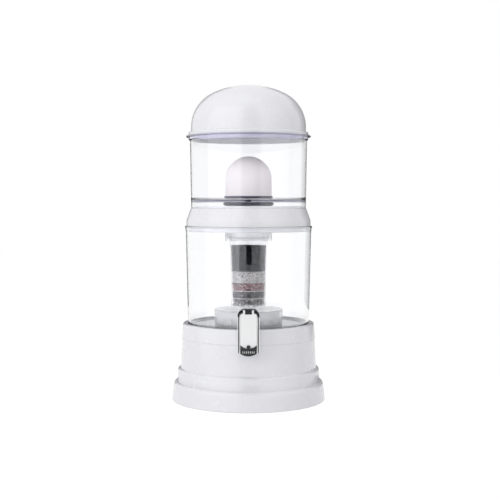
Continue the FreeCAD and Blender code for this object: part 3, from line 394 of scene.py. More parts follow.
def plated(name, colour, roughness, lines=()):
    """Plating. Any dark bands given are painted upright, with soft edges, on both sides of the middle plane,
    each from one distance to another, in millimetres: painted shade and painted reflection."""
    finish = Finish(name, colour, roughness, Metallic=1.0)
    if lines:
        stops = [(0, colour)]
        for start, end in lines:
            stops += [(start - PAINTED_BAND_BLEND, colour), (start, PAINTED_BAND_DARK)]
            stops += [(end, PAINTED_BAND_DARK), (end + PAINTED_BAND_BLEND, colour)]
        stops = [(distance / CHEEK_REACH, tone) for distance, tone in stops]
        finish.colour_from(finish.ramp(finish.side_share(CHEEK_REACH * MM), *stops))
    finish.roughness_between(finish.noise(140, 5), roughness * 0.6, roughness * 1.8)
    finish.bump(finish.noise(120, 2), 0.00006)
    finish.bump(finish.noise(2500, 2), 0.000004)
    return finish.material


# The tap's plating carries the painted shade and painted reflection bands.
TAP_CHROME_WITH_PAINTED_BANDS = plated("tap_chrome", (0.78, 0.79, 0.81), 0.07, PAINTED_SHADE_AND_REFLECTION_BANDS)
WIRE_STEEL = plated("wire_steel", (0.56, 0.56, 0.57), 0.24)


# %% [markdown]
# Black rubber and black plastic are never pure black. A fine grain in the bump breaks the highlight, and a
# slower noise makes some places a little smoother than others, as handling does.


# %% Black and soft parts
def fine_grained(name, colour, roughness, grain, depth, **sockets):
    """A finish with a fine grain: grain is the scale of its noise, and depth its height in metres."""
    finish = Finish(name, colour, roughness, **sockets)
    finish.colour_between(finish.noise(grain * 0.2, 3), *shades(colour, 0.25))
    finish.roughness_between(finish.noise(grain * 0.1, 4), roughness * 0.8, min(1, roughness * 1.2))
    finish.bump(finish.noise(grain, 4, 0.6), depth)
    return finish.material


PAD_BLACK = fine_grained("pad_black", (0.012, 0.012, 0.014), 0.42, 1800, 0.00004)
HINGE_BLACK = fine_grained("hinge_black", (0.014, 0.014, 0.016), 0.35, 1500, 0.00003)
RUBBER_BLACK = fine_grained("rubber_black", (0.02, 0.02, 0.021), 0.6, 2200, 0.00005)
SLATE = fine_grained("slate", (0.032, 0.032, 0.07), 0.4, 1500, 0.00003)
SILICONE = fine_grained("silicone", (0.66, 0.67, 0.69), 0.45, 1600, 0.00003, Subsurface_Weight=0.2,
                        Subsurface_Radius=(0.002, 0.002, 0.002))
FELT = fine_grained("felt", (0.8, 0.8, 0.8), 0.95, 1300, 0.0003, Sheen_Weight=0.5, Sheen_Roughness=0.5)


# %% [markdown]
# The ceramic filter is fired, unglazed clay, so it is chalky, with fine pores and a slow warm and cool
# mottling. It scatters light a little under its skin, which keeps its shaded side from going grey.


# %% Ceramic
def fired_clay(name, colour):
    """Chalky clay. A noise mixes a warm and a cool tone. The bump is a fine noise, and on top of it the
    distance to the nearest of many scattered points, which sinks a pore at each."""
    finish = Finish(name, colour, 0.85, Subsurface_Weight=0.15, Subsurface_Radius=(0.003, 0.0025, 0.002),
                    Specular_IOR_Level=0.3)
    warm = tuple(c * f for c, f in zip(colour, (1.0, 0.97, 0.965)))
    cool = tuple(c * f for c, f in zip(colour, (0.985, 0.985, 1.0)))
    finish.colour_between(finish.noise(45, 5, 0.6), warm, cool)
    finish.bump(finish.noise(700, 5, 0.65), 0.0002)
    pores = finish.node("ShaderNodeTexVoronoi", Scale=900.0)
    finish.join(finish.place.outputs["Object"], pores.inputs["Vector"])
    finish.bump(pores.outputs["Distance"], 0.0001)
    return finish.material


CERAMIC = fired_clay("ceramic", (0.9, 0.86, 0.87))


# %% [markdown]
# The filter's beds are loose grains. Each grain gets a tone of its own, a number from 0 to 1 kept in the
# mesh as an attribute, and the finish turns it into a colour, so one material dresses a whole bed.


# %% Grains
def grains(name, stops, roughness, depth, grain=900, **sockets):
    """A finish that picks its colour by the grain's own tone, from dark to light."""
    finish = Finish(name, stops[0][1], roughness, **sockets)
    tone = finish.node("ShaderNodeAttribute", attribute_name="tone")
    finish.colour_from(finish.ramp(tone.outputs["Fac"], *stops))
    finish.roughness_between(finish.noise(grain * 0.3, 3), roughness * 0.8, min(1, roughness * 1.25))
    finish.bump(finish.noise(grain, 4, 0.6), depth)
    return finish.material


CARBON = grains("carbon", [(0, (0.002, 0.002, 0.003)), (0.7, (0.012, 0.012, 0.017)),
                           (1, (0.09, 0.09, 0.11))], 0.4, 0.0002, Specular_IOR_Level=0.15)
SILICA = grains("silica_sand", [(0, (0.3, 0.26, 0.25)), (0.2, (0.78, 0.74, 0.73)), (0.6, (0.95, 0.94, 0.94)),
                                (1, (0.98, 0.98, 0.98))], 0.45, 0.0001, Subsurface_Weight=0.3,
                Subsurface_Radius=(0.002, 0.002, 0.002))
RED_CLAY = grains("red_balls", [(0, (0.09, 0.022, 0.034)), (0.4, (0.34, 0.12, 0.15)),
                                (0.72, (0.56, 0.33, 0.35)), (1, (0.8, 0.72, 0.73))], 0.55, 0.0001,
                  Specular_IOR_Level=0.25)
TOURMALINE = grains("tourmaline", [(0, (0.004, 0.003, 0.004)), (0.6, (0.022, 0.017, 0.019)),
                                   (0.85, (0.12, 0.1, 0.11)), (1, (0.5, 0.48, 0.49))], 0.42, 0.0001,
                    Specular_IOR_Level=0.2)
MINERAL = grains("mineral_sand", [(0, (0.03, 0.025, 0.028)), (0.45, (0.24, 0.21, 0.22)),
                                  (0.75, (0.6, 0.57, 0.58)), (1, (0.9, 0.88, 0.89))], 0.5, 0.0001,
                 Specular_IOR_Level=0.25)
PEBBLE = grains("pebbles", [(0, (0.7, 0.71, 0.8)), (0.4, (0.83, 0.84, 0.91)), (0.75, (0.91, 0.91, 0.95)),
                            (1, (0.96, 0.95, 0.96))], 0.35, 0.0002, 260)
print("finishes:", len(bpy.data.materials))

# %% [markdown]
# ## The stand
#
# The stand is a hollow moulding in steps: a wide foot, a rounded shoulder, a straight belt, a second
# shoulder and a tall column with a slightly proud band round its top. Its rim holds the lower tank, which
# stands on the deck inside it. The shoulders are true arcs, because they carry the brightest highlights.
# The main heights and radii are read from the CAD parts, so that the pieces drawn here fit among them.

# %% The stand
# Sizes are in millimetres: names in _R are radii, and names in _Z are heights above the floor.
def size_of(node):
    """A CAD part's lowest point, its highest point, and how far it reaches to the right, which for a turned
    part is its largest radius: all in millimetres, to a thousandth."""
    mesh = NODES[node].data
    points = np.empty(3 * len(mesh.vertices), np.float32)
    mesh.vertices.foreach_get("co", points)
    x, _, z = points.astype(float).reshape(-1, 3).T / MM
    return [round(float(number), 3) for number in (z.min(), z.max(), x.max())]


_, STAND_TOP_Z, FOOT_R = size_of("base_shell")
DECK_Z, TANK_RIM_Z, TANK_FLANGE_R = size_of("lower_tank")
SKIRT_R, SKIRT_Z, SKIRT_ROUND = 147.5, 29.0, 8.0
BELT_R, BELT_Z, BELT_ROUND, STAND_WALL = 139.5, 57.0, 6.0, 3.0
UNDER_Z = DECK_Z - STAND_WALL
print("the stand is", STAND_TOP_Z, "mm high, and its foot has a radius of", FOOT_R, "mm")


def stand_outline():
    """The stand's section, outside from the foot up, over the rim to the deck, and back down inside."""
    outside = rounded([(FOOT_R - 0.6, 0, 0.3), (FOOT_R, 1.2, 0.5), (SKIRT_R, SKIRT_Z)], closed=False)
    skirt_shoulder = arc((SKIRT_R - SKIRT_ROUND, SKIRT_Z), SKIRT_ROUND, 0, 90, 12)[1:]
    belt_shoulder = arc((BELT_R - BELT_ROUND, BELT_Z), BELT_ROUND, 0, 90, 10)
    column = rounded(
        [(BELT_R - BELT_ROUND, BELT_Z + BELT_ROUND, 0.8), (133.2, 64.4, 0.8), (130.6, 119.6, 0.4),
         (130.1, 120.6, 0.3), (130.2, 121.3, 0.3), (131.3, 122, 0.5), (128.9, STAND_TOP_Z, 2.8),
         (120.5, STAND_TOP_Z, 1.2), (120.5, DECK_Z, 0.8), (0, DECK_Z)],
        closed=False,
    )[1:]
    inside = rounded(
        [(0, UNDER_Z), (125.5, UNDER_Z, 2), (127.5, 121, 1), (130.3, 60, 2),
         (BELT_R - STAND_WALL, BELT_Z, 2), (BELT_R - STAND_WALL, 36, 3),
         (SKIRT_R - STAND_WALL, SKIRT_Z, 3), (FOOT_R - STAND_WALL, 0.2, 0.3)],
        closed=False,
    )
    return np.vstack([outside, skirt_shoulder, belt_shoulder, column]), inside


def box_arrays(low, high):
    """The eight corners and six faces of a box between two corners, in millimetres."""
    corners = np.array([(x, y, z) for x in (0, 1) for y in (0, 1) for z in (0, 1)], float)
    verts = np.array(low) + corners * (np.array(high) - np.array(low))
    faces = [(0, 1, 3, 2), (4, 6, 7, 5), (0, 4, 5, 1), (2, 3, 7, 6), (0, 2, 6, 4), (1, 5, 7, 3)]
    return verts, faces


def spokes(verts, count):
    """Copies of some points turned in equal steps about the upright axis, as one array."""
    angle = np.arange(count)[:, None] * TURN / count
    x, y, z = verts.T
    turned_x = x * np.cos(angle) - y * np.sin(angle)
    turned_y = x * np.sin(angle) + y * np.cos(angle)
    return np.stack([turned_x, turned_y, np.broadcast_to(z, turned_x.shape)], -1)


def repeated_faces(faces, points, count, first=0):
    """The faces of a shape with so many points, for each of its copies."""
    return [tuple(first + k * points + i for i in face) for k in range(count) for face in faces]


RIB_COUNT, RIB_THICK, RIB_DEPTH, RIB_SUNK = 8, 2.5, 12.0, 1.0
RIB_INNER_R, RIB_OUTER_R = 30.0, 127.2
top, under = stand_outline()
verts, faces = turned_arrays(np.vstack([top[::-1], under[::-1]]), 224)
rib_verts, rib_faces = box_arrays((RIB_INNER_R, -RIB_THICK / 2, UNDER_Z - RIB_DEPTH),
                                  (RIB_OUTER_R, RIB_THICK / 2, UNDER_Z + RIB_SUNK))
ribs = spokes(rib_verts, RIB_COUNT).reshape(-1, 3) * MM
faces = faces + repeated_faces(rib_faces, len(rib_verts), RIB_COUNT, len(verts))
stand = add_piece("stand", np.vstack([verts, ribs]), faces, SHELL_WHITE, "base", ["base_shell"])
print("stand:", len(stand.data.vertices), "points")

# %% [markdown]
# ## The two tanks
#
# Each tank has a real wall: an outside, a rim, an inside and a floor, joined into one closed surface. A
# single skin would not bend light and would look like foil. The rims are thick flanges with a band below
# them, where the plastic is deep enough to go grey.

# %% The lower tank
TANK_FOOT_R, TANK_TOP_R, TANK_WALL, TANK_FLANGE = 119.0, 123.7, 4.0, 3.0
TANK_BAND_R, TANK_FLOOR_Z = 124.4, size_of("stone_case")[0]
FLANGE_Z = TANK_RIM_Z - TANK_FLANGE
lower_outline = np.vstack([
    [(0, DECK_Z)],
    rounded([(60, DECK_Z), (TANK_FOOT_R, DECK_Z, 10), (TANK_TOP_R, 331, 0.5),
             (TANK_BAND_R, 331.2, 0.3), (TANK_BAND_R, FLANGE_Z, 0.3), (TANK_FLANGE_R, FLANGE_Z, 0.8),
             (TANK_FLANGE_R, TANK_RIM_Z, 0.8),
             (TANK_TOP_R - TANK_WALL, TANK_RIM_Z, 0.8), (TANK_FOOT_R - TANK_WALL, TANK_FLOOR_Z, 6),
             (60, TANK_FLOOR_Z)],
            steps=8, closed=False),
    [(0, TANK_FLOOR_Z)],
])
lower_tank = turned("tank_lower", lower_outline, TANK_CLEAR, "lower_tank", ["lower_tank"],
                    256)


def sideways(verts, axis_z):
    """Turns a piece made about the upright axis so that its axis runs level, from back to front, at a
    height: what was up now points to the front."""
    x, y, z = verts.T
    return np.stack([x, -z, y + axis_z * MM], -1)


gasket_low, gasket_high, _ = size_of("tap_outer_gasket")
TAP_Z = (gasket_low + gasket_high) / 2
BOSS_HOLE_R, BOSS_R, BOSS_BACK, BOSS_FRONT = 9.3, 15.5, 111.5, 121.5
boss_outline = rounded([(BOSS_HOLE_R, BOSS_BACK), (BOSS_R, BOSS_BACK), (BOSS_R, BOSS_FRONT, 0.6),
                        (BOSS_HOLE_R, BOSS_FRONT)])
verts, faces = turned_arrays(boss_outline, 64)
add_piece("tank_tap_boss", sideways(verts, TAP_Z), faces, TANK_CLEAR, "lower_tank")

# %% The upper tank
# The tank stands on the collar, and the holder's gasket lies against its floor from below.
COLLAR_TOP_Z, UPPER_RIM_Z, UPPER_FLANGE_R = size_of("upper_tank")
UPPER_FLOOR_Z = size_of("holder_gasket")[1]
UPPER_FOOT_R, UPPER_TOP_R, UPPER_BAND_R, STEM_HOLE_R = 113.2, 115.6, 118.0, 6.5
UPPER_WALL, UPPER_FLANGE = 3.0, 3.0
UPPER_INNER_R, UPPER_FLANGE_Z = UPPER_FOOT_R - UPPER_WALL, UPPER_RIM_Z - UPPER_FLANGE
upper_outline = rounded([
    (STEM_HOLE_R, UPPER_FLOOR_Z, 0.3), (UPPER_INNER_R, UPPER_FLOOR_Z, 1), (UPPER_INNER_R, COLLAR_TOP_Z, 0.6),
    (UPPER_FOOT_R, COLLAR_TOP_Z, 0.6), (UPPER_TOP_R, 508, 1.5), (UPPER_BAND_R, 510.4, 1),
    (UPPER_BAND_R, UPPER_FLANGE_Z, 0.4), (UPPER_FLANGE_R, UPPER_FLANGE_Z, 0.9),
    (UPPER_FLANGE_R, UPPER_RIM_Z, 0.9), (UPPER_TOP_R - UPPER_WALL, UPPER_RIM_Z, 0.9),
    (UPPER_INNER_R, UPPER_FLOOR_Z + UPPER_WALL, 5), (STEM_HOLE_R, UPPER_FLOOR_Z + UPPER_WALL, 0.3)], steps=7)
upper_tank = turned("tank_upper", upper_outline, RIMMED_CLEAR, "upper_tank", ["upper_tank"],
                    256)
print("tanks:", len(lower_tank.data.vertices) + len(upper_tank.data.vertices), "points")

# %% [markdown]
# ## The collar and the lid
#
# Both are white shells. The collar is a short band, then a cone with a soft top edge. The lid is two arcs
# that run into each other, a shoulder and a flatter crown, over a foot ring that sits on the clear rim.

# %% The collar
# Its plug hangs into the lower tank, and its guide stands up inside the upper one.
PLUG_FOOT_Z, GUIDE_TOP_Z, COLLAR_R = size_of("collar")
COLLAR_WALL, COLLAR_HOLE_R, PLUG_R, GUIDE_R, GUIDE_WALL = 2.5, 62.0, 118.7, 109.2, 2.0
collar_outline = rounded([
    (COLLAR_HOLE_R, 373, 1), (109.5, 373, 1), (COLLAR_R - COLLAR_WALL, 352, 1),
    (COLLAR_R - COLLAR_WALL, TANK_RIM_Z + COLLAR_WALL, 0.6),
    (PLUG_R - COLLAR_WALL, TANK_RIM_Z + COLLAR_WALL, 0.6), (PLUG_R - COLLAR_WALL, PLUG_FOOT_Z, 0.8),
    (PLUG_R, PLUG_FOOT_Z, 0.8), (PLUG_R, TANK_RIM_Z, 0.4), (COLLAR_R, TANK_RIM_Z, 0.9),
    (COLLAR_R, 351.4, 5), (113.6, COLLAR_TOP_Z, 2.2), (GUIDE_R, COLLAR_TOP_Z, 0.3),
    (GUIDE_R, GUIDE_TOP_Z, 0.6), (GUIDE_R - GUIDE_WALL, GUIDE_TOP_Z, 0.6),
    (GUIDE_R - GUIDE_WALL, COLLAR_TOP_Z, 0.3), (COLLAR_HOLE_R, COLLAR_TOP_Z, 1)], steps=6)
collar = turned("collar_ring", collar_outline, SHELL_WHITE, "collar", ["collar"], 224)
print("collar:", len(collar.data.vertices), "points")

# %% The lid
LID_PLUG_Z, LID_TOP_Z, LID_RING_R = size_of("lid")
DOME_R, SHOULDER_R, CROWN_R, LID_WALL, LID_FOOT_Z = 113.5, 74.0, 160.0, 2.5, 525.0
SIDE = DOME_R - SHOULDER_R
CROWN_Z = LID_TOP_Z - CROWN_R
SHOULDER_Z = CROWN_Z + math.sqrt((CROWN_R - SHOULDER_R) ** 2 - SIDE**2)
MEETING_DEG = math.degrees(math.atan2(SHOULDER_Z - CROWN_Z, SIDE))


def dome(offset):
    """The dome's section from the top down: the crown's arc, then the shoulder's arc, each smaller by the
    offset. The two run into each other where the line through both centres meets them."""
    crown = arc((0, CROWN_Z), CROWN_R - offset, 90, MEETING_DEG, 26)
    shoulder = arc((SIDE, SHOULDER_Z), SHOULDER_R - offset, MEETING_DEG, 0, 30)[1:]
    return np.vstack([crown, shoulder])


LID_RING_UNDER_Z, LID_PLUG_R = 520.5, 111.6
lid_outside = rounded([
    (DOME_R, SHOULDER_Z - 2), (DOME_R, LID_FOOT_Z, 1.2), (LID_RING_R, LID_FOOT_Z, 2.5),
    (LID_RING_R, UPPER_RIM_Z, 0.8), (LID_PLUG_R, UPPER_RIM_Z, 0.4), (LID_PLUG_R, LID_PLUG_Z, 0.8),
    (LID_PLUG_R - LID_WALL, LID_PLUG_Z, 0.8), (LID_PLUG_R - LID_WALL, LID_RING_UNDER_Z, 1),
    (DOME_R - LID_WALL, LID_RING_UNDER_Z, 0.8),
    (DOME_R - LID_WALL, SHOULDER_Z - 2)], closed=False)
lid_outline = np.vstack([dome(0), lid_outside, dome(LID_WALL)[::-1]])
lid = turned("lid_dome", lid_outline, SHELL_WHITE, "lid", ["lid"], 256)
print("lid:", len(lid.data.vertices), "points, its arcs meet at", round(MEETING_DEG, 1), "degrees")

# %% [markdown]
# ## The ceramic filter
#
# The candle is a pressed clay shell, a short cylinder with a round top. It isn't perfectly true, so its
# radius carries a slow wobble of a tenth of a millimetre, and its finish adds the pores.

# %% The ceramic dome
CERAMIC_LOW, CERAMIC_TOP, CERAMIC_R = size_of("ceramic_dome")
CERAMIC_WALL = 8.0
CERAMIC_INNER_R, DOME_CENTRE = CERAMIC_R - CERAMIC_WALL, (0, CERAMIC_TOP - CERAMIC_R)
candle_foot = rounded([(CERAMIC_R, 405), (CERAMIC_R, CERAMIC_LOW, 0.6), (CERAMIC_INNER_R, CERAMIC_LOW, 0.6),
                       (CERAMIC_INNER_R, 405)], closed=False)
candle_outside = np.vstack([arc(DOME_CENTRE, CERAMIC_R, 90, 0, 40), [(CERAMIC_R, 415)], candle_foot])
candle_inside = arc(DOME_CENTRE, CERAMIC_INNER_R, 0, 90, 30)


def clay_wobble(angle, radius, height):
    """How far the clay stands out, in millimetres: three slow waves that cross, small near the top."""
    waves = np.sin(3 * angle + height / 23) + 0.6 * np.sin(7 * angle - height / 11) + 0.4 * np.cos(height / 5)
    return 0.05 * waves * np.minimum(1, radius / 20)


candle = turned("ceramic_candle", np.vstack([candle_outside, candle_inside]), CERAMIC, "upper_tank",
                ["ceramic_dome"], 160, clay_wobble)
print("ceramic dome:", len(candle.data.vertices), "points")


# %% [markdown]
# ## Small parts from the CAD
#
# The tap, the nuts and the cartridge's clear parts have cut-outs and slots that the CAD already has right.
# A copy of such a part is welded into one skin, its flat faces are made whole again, and a Bevel modifier
# rounds the edges, because a plated or moulded edge is never sharp.


# %% Softened copies of CAD parts
SMOOTH_BELOW = math.radians(32)


def softened(name, node, finish, body, edge, slot, steps=2):
    """A copy of a CAD part with its edges rounded by so many millimetres. Its points closer than a
    thousandth of a millimetre become one, and faces that lie in one plane become one face."""
    mesh = NODES[node].data.copy()
    mesh.name = name
    mesh.materials.clear()
    mesh.materials.append(finish)
    if "custom_normal" in mesh.attributes:
        mesh.attributes.remove(mesh.attributes["custom_normal"])
    welded = bmesh.new()
    welded.from_mesh(mesh)
    bmesh.ops.remove_doubles(welded, verts=welded.verts, dist=1e-6)
    bmesh.ops.dissolve_limit(welded, angle_limit=math.radians(0.6), verts=welded.verts, edges=welded.edges)
    welded.to_mesh(mesh)
    welded.free()
    mesh.shade_smooth()
    piece = bpy.data.objects.new(name, mesh)
    bpy.context.scene.collection.objects.link(piece)
    bevel = piece.modifiers.new("rounded edges", "BEVEL")
    bevel.width = edge * MM
    bevel.segments = steps
    bevel.limit_method = "ANGLE"
    bevel.angle_limit = SMOOTH_BELOW
    sides = piece.modifiers.new("smooth sides", "WEIGHTED_NORMAL")
    sides.keep_sharp = True
    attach(piece, body)
    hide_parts(node)


SOFTENED = [
    ("tap_housing", "tap_body", TAP_CHROME_WITH_PAINTED_BANDS, "lower_tank", 0.7, "tap_chrome", 3),
    ("tap_clamp_nut", "tap_nut", FITTING_WHITE, "lower_tank", 0.5, "nut_plastic", 2),
    ("push_lever", "tap_lever", LEVER_WHITE, "lever", 0.6, "lever_plastic", 3),
    ("push_pad", "lever_grip", PAD_BLACK, "lever", 0.4, "black_rubber", 3),
    ("hinge_roller", "hinge_barrel", HINGE_BLACK, "lower_tank", 0.2, "black_plastic", 2),
    ("wing_nut_soft", "wing_nut", FITTING_WHITE, "upper_tank", 0.6, "nut_plastic", 2),
    ("candle_plate", "dome_base_plate", SLATE, "upper_tank", 0.4, "slate_plastic", 2),
    ("holder_cap", "cartridge_holder", CUP_CLEAR, "upper_tank", 0.3, "clear_plastic", 2),
    ("cartridge_cup", "cartridge_body", CUP_CLEAR, "cartridge", 0.3, "clear_plastic", 2),
    ("cartridge_lid", "cartridge_strainer", FITTING_WHITE, "cartridge", 0.3, "nut_plastic", 2),
    ("stone_tray", "stone_case", CASE_CLEAR, "lower_tank", 0.25, "clear_plastic", 1),
    ("stone_tray_lid", "stone_case_lid", CASE_CLEAR, "lower_tank", 0.3, "clear_plastic", 2),
]
for row in SOFTENED:
    softened(*row)

# %% The cap's dark flange
# The cap that holds the cartridge has a slate skin over its flange, which shows as a dark disc.
_, HOLDER_TOP_Z, HOLDER_R = size_of("cartridge_holder")
SKIN_GAP, SKIN_THICK, SKIN_INNER_R = 0.1, 3.0, 16.0
SKIN_R, SKIN_TOP_Z = HOLDER_R + SKIN_GAP, HOLDER_TOP_Z - SKIN_GAP
SKIN_LOW_Z = SKIN_TOP_Z - SKIN_THICK
turned("cap_flange_skin", rounded([(SKIN_INNER_R, SKIN_LOW_Z), (SKIN_R, SKIN_LOW_Z, 0.6),
                                   (SKIN_R, SKIN_TOP_Z, 0.3), (SKIN_INNER_R, SKIN_TOP_Z)]),
       SLATE, "upper_tank", segments=128)

# %% The pad's ribs
# The pad's ribs are pale on their tops, drawn as thin pale caps a little proud of the rubber.
CAP_COUNT, CAP_PITCH, CAP_WIDTH, CAP_PROUD = 7, 3.4, 1.1, 0.1
PAD_RIB_FRONT, PAD_RIB_LOW_Z, PAD_RIB_HIGH_Z = -157.4, 110.6, 114.6
cap, cap_faces = box_arrays((-CAP_WIDTH / 2, PAD_RIB_FRONT - CAP_PROUD, PAD_RIB_LOW_Z + CAP_PROUD),
                            (CAP_WIDTH / 2, PAD_RIB_FRONT + CAP_PROUD, PAD_RIB_HIGH_Z - CAP_PROUD))
across = (np.arange(CAP_COUNT) - CAP_COUNT // 2) * CAP_PITCH
caps = (cap + across[:, None, None] * np.array([1, 0, 0])).reshape(-1, 3)
add_piece("pad_pale_rib_caps", caps * MM, repeated_faces(cap_faces, len(cap), CAP_COUNT), FITTING_WHITE, "lever",
          smooth=False)

# %% Parts that keep their CAD mesh
# These small parts ride on their bodies already, so they only get a finish.
KEPT_FINISHES = {
    "tap_outer_gasket": SILICONE, "tap_inner_gasket": SILICONE, "dome_gasket": SLATE,
    "holder_gasket": SLATE, "neck_ring": SILICONE, "lever_pin": WIRE_STEEL, "valve_spring": WIRE_STEEL,
    "valve_plunger": FITTING_WHITE, "valve_seal": RUBBER_BLACK, "rod_ring": RUBBER_BLACK,
    "inlet_strainer": FITTING_WHITE,
}
for node, finish in KEPT_FINISHES.items():
    materials = NODES[node].data.materials
    materials.clear()
    materials.append(finish)
print("softened copies:", len(SOFTENED), "and CAD parts with a new finish:", len(KEPT_FINISHES))


# %% [markdown]
# ## The cartridge's layers
#
# Seen through the cup, a bed of grains is a wall of separate little stones. Filling the whole cup would be
# millions of faces, so each layer is a plain core with grains only where they show: on its side and on its
# top and bottom. Every grain is a twenty-sided stone, stretched and turned at random, all in one array.


# %% Grain shapes and beds
def stone_shape(order):
    """A unit ball of triangles: 20 faces, or 80 or 320 after one or two divisions, as points and faces."""
    ball = bmesh.new()
    bmesh.ops.create_icosphere(ball, subdivisions=order, radius=1.0)
    points = np.array([v.co[:] for v in ball.verts])
    faces = [tuple(v.index for v in f.verts) for f in ball.faces]
    ball.free()
    return points, faces


def random_turns(draw, count):
    """Rotation matrices spread evenly over all directions, from random unit quaternions."""
    q = draw.normal(size=(count, 4))
    w, x, y, z = (q / np.linalg.norm(q, axis=1)[:, None]).T
    rows = [
        [1 - 2 * (y * y + z * z), 2 * (x * y - z * w), 2 * (x * z + y * w)],
        [2 * (x * y + z * w), 1 - 2 * (x * x + z * z), 2 * (y * z - x * w)],
        [2 * (x * z - y * w), 2 * (y * z + x * w), 1 - 2 * (x * x + y * y)],
    ]
    return np.array(rows).transpose(2, 0, 1)


def stones_arrays(draw, places, sizes, order, roundness, rough):
    """Every stone is the unit ball, with its points pushed in and out, stretched by three factors, turned,
    and moved to its place. Roundness is 1 for balls and less for longer stones."""
    points, faces = stone_shape(order)
    count = len(places)
    lumps = 1 + rough * draw.normal(size=(count, len(points), 1))
    stretch = draw.uniform(roundness, 1, size=(count, 1, 3)) * sizes[:, None, None]
    turns = random_turns(draw, count)
    verts = np.einsum("nij,npj->npi", turns, points[None] * lumps * stretch) + places[:, None, :]
    return verts.reshape(-1, 3), repeated_faces(faces, len(points), count)


CUP_FLOOR_Z = size_of("layer_mineral_sand")[0]
CUP_SHOULDER_Z, CUP_FLOOR_R, CUP_SHOULDER_R = 313.0, 32.0, 36.0


def cup_radius(height):
    """The cup's inner radius at a height, which grows evenly from its floor to its shoulder."""
    share = (height - CUP_FLOOR_Z) / (CUP_SHOULDER_Z - CUP_FLOOR_Z)
    return CUP_FLOOR_R + (CUP_SHOULDER_R - CUP_FLOOR_R) * share


# Gaps to the cup's wall, from the grains and from the core, and to a layer's ends. The jitter is a share of
# the spacing, and it turns into an angle by the cup's mean radius.
WALL_GAP, CORE_GAP, END_GAP = 0.12, 0.35, 0.02
JITTER, MEAN_R, GOLDEN_ANGLE = 0.22, 34.0, 2.399963
# More shares of the spacing: the step between rows, and how far in a layer's ends stop. The last is how
# many grains an end has, as a share of its area over the spacing's square.
ROW_STEP, END_MARGIN, END_FILL = 0.87, 0.6, 0.9


def bed_places(draw, low, high, spacing):
    """Places for grains on the side and the two ends of a layer. On the side they are rows of equal steps,
    every other row half a step on, each place a little off. On the ends they wind outwards, the k-th of n
    at k golden angles and at radius * sqrt(k / n), which spreads them evenly."""
    rows = max(2, int(round((high - low) / (spacing * ROW_STEP))))
    heights = low + (np.arange(rows) + 0.5) * (high - low) / rows
    side = []
    for k, z in enumerate(heights):
        around = int(TURN * cup_radius(z) / spacing)
        angle = (np.arange(around) + 0.5 * (k % 2)) * TURN / around
        side.append(np.stack([angle, np.full(around, z)], -1))
    side = np.vstack(side)
    side += draw.normal(size=side.shape) * (JITTER * spacing / MEAN_R, JITTER * spacing)
    angle, z = side.T
    z = np.clip(z, low + 0.35 * spacing, high - 0.3 * spacing)
    r = cup_radius(z) - CORE_GAP - spacing * draw.uniform(0.42, 0.75, len(z))
    side = np.stack([r * np.cos(angle), r * np.sin(angle), z], -1)
    ends = []
    for z, inward in ((low, 1), (high, -1)):
        edge = cup_radius(z) - END_MARGIN * spacing
        number = int(math.pi * edge**2 / spacing**2 * END_FILL)
        k = np.arange(number) + 0.5
        r = edge * np.sqrt(k / number)
        angle = k * GOLDEN_ANGLE + draw.normal(size=number) * 0.05
        height = z + inward * spacing * draw.uniform(0.4, 0.75, number)
        ends.append(np.stack([r * np.cos(angle), r * np.sin(angle), height], -1))
    return np.vstack([side, *ends])


def set_tone(piece, tones):
    """Keeps a number for each point of the mesh, which the finish reads as that grain's tone."""
    layer = piece.data.attributes.new("tone", "FLOAT", "POINT")
    layer.data.foreach_set("value", np.asarray(tones, np.float32))


# A grain's radius is this share of the spacing, so neighbours touch, and the core has a dark grain's tone.
GRAIN_SIZE, CORE_TONE = 0.56, 0.1


def bed(name, node, finish, spacing, seed, roundness=0.6, rough=0.12):
    """One layer: a core that fills the middle, and grains on its outside. Grains that would stand out of
    the cup or past the layer's ends are pressed in."""
    low, high, _ = size_of(node)
    draw = np.random.default_rng(seed)
    places = bed_places(draw, low, high, spacing)
    sizes = spacing * GRAIN_SIZE * draw.uniform(0.8, 1.25, len(places))
    verts, faces = stones_arrays(draw, places, sizes, 1, roundness, rough)
    points = len(verts) // len(places)
    tones = np.repeat(draw.beta(0.9, 1.1, len(places)), points)
    inset = 0.75 * spacing
    core = [(0, low + inset), (cup_radius(low) - inset - CORE_GAP, low + inset),
            (cup_radius(high) - inset - CORE_GAP, high - inset), (0, high - inset)]
    core_verts, core_faces = turned_arrays(core, 48)
    faces = faces + [tuple(len(verts) + i for i in face) for face in core_faces]
    radius = np.hypot(verts[:, 0], verts[:, 1])
    limit = cup_radius(verts[:, 2]) - WALL_GAP
    verts[:, :2] *= np.minimum(1, limit / np.maximum(radius, 1e-6))[:, None]
    verts[:, 2] = np.clip(verts[:, 2], low + END_GAP, high - END_GAP)
    piece = add_piece(name, np.vstack([verts * MM, core_verts]), faces, finish, "cartridge", [node],
                      smooth=False)
    set_tone(piece, np.append(tones, np.full(len(core_verts), CORE_TONE)))
    print(name, "has", len(places), "grains")


# %% The layers, from the bottom up
bed("bed_mineral_sand", "layer_mineral_sand", MINERAL, 3.1, 11)
bed("bed_tourmaline", "layer_tourmaline", TOURMALINE, 3.2, 12, 0.85, 0.05)
bed("bed_red_balls", "layer_red_balls", RED_CLAY, 3.3, 13, 0.85, 0.05)
bed("bed_silica", "layer_silica_sand", SILICA, 3.4, 14)
bed("bed_carbon", "layer_carbon", CARBON, 2.6, 15, 0.45, 0.2)

# %% The felt pads between the layers
PADS = ("pad_lowest", "pad_lower", "pad_upper", "pad_highest")
PAD_GAP, PAD_ROUND = 0.03, 0.4


def fuzz(angle, radius, height):
    """The felt's cut edge, in millimetres: short waves that run round it, only near the rim."""
    return 0.06 * np.sin(61 * angle + 3 * height) * (radius > 30)


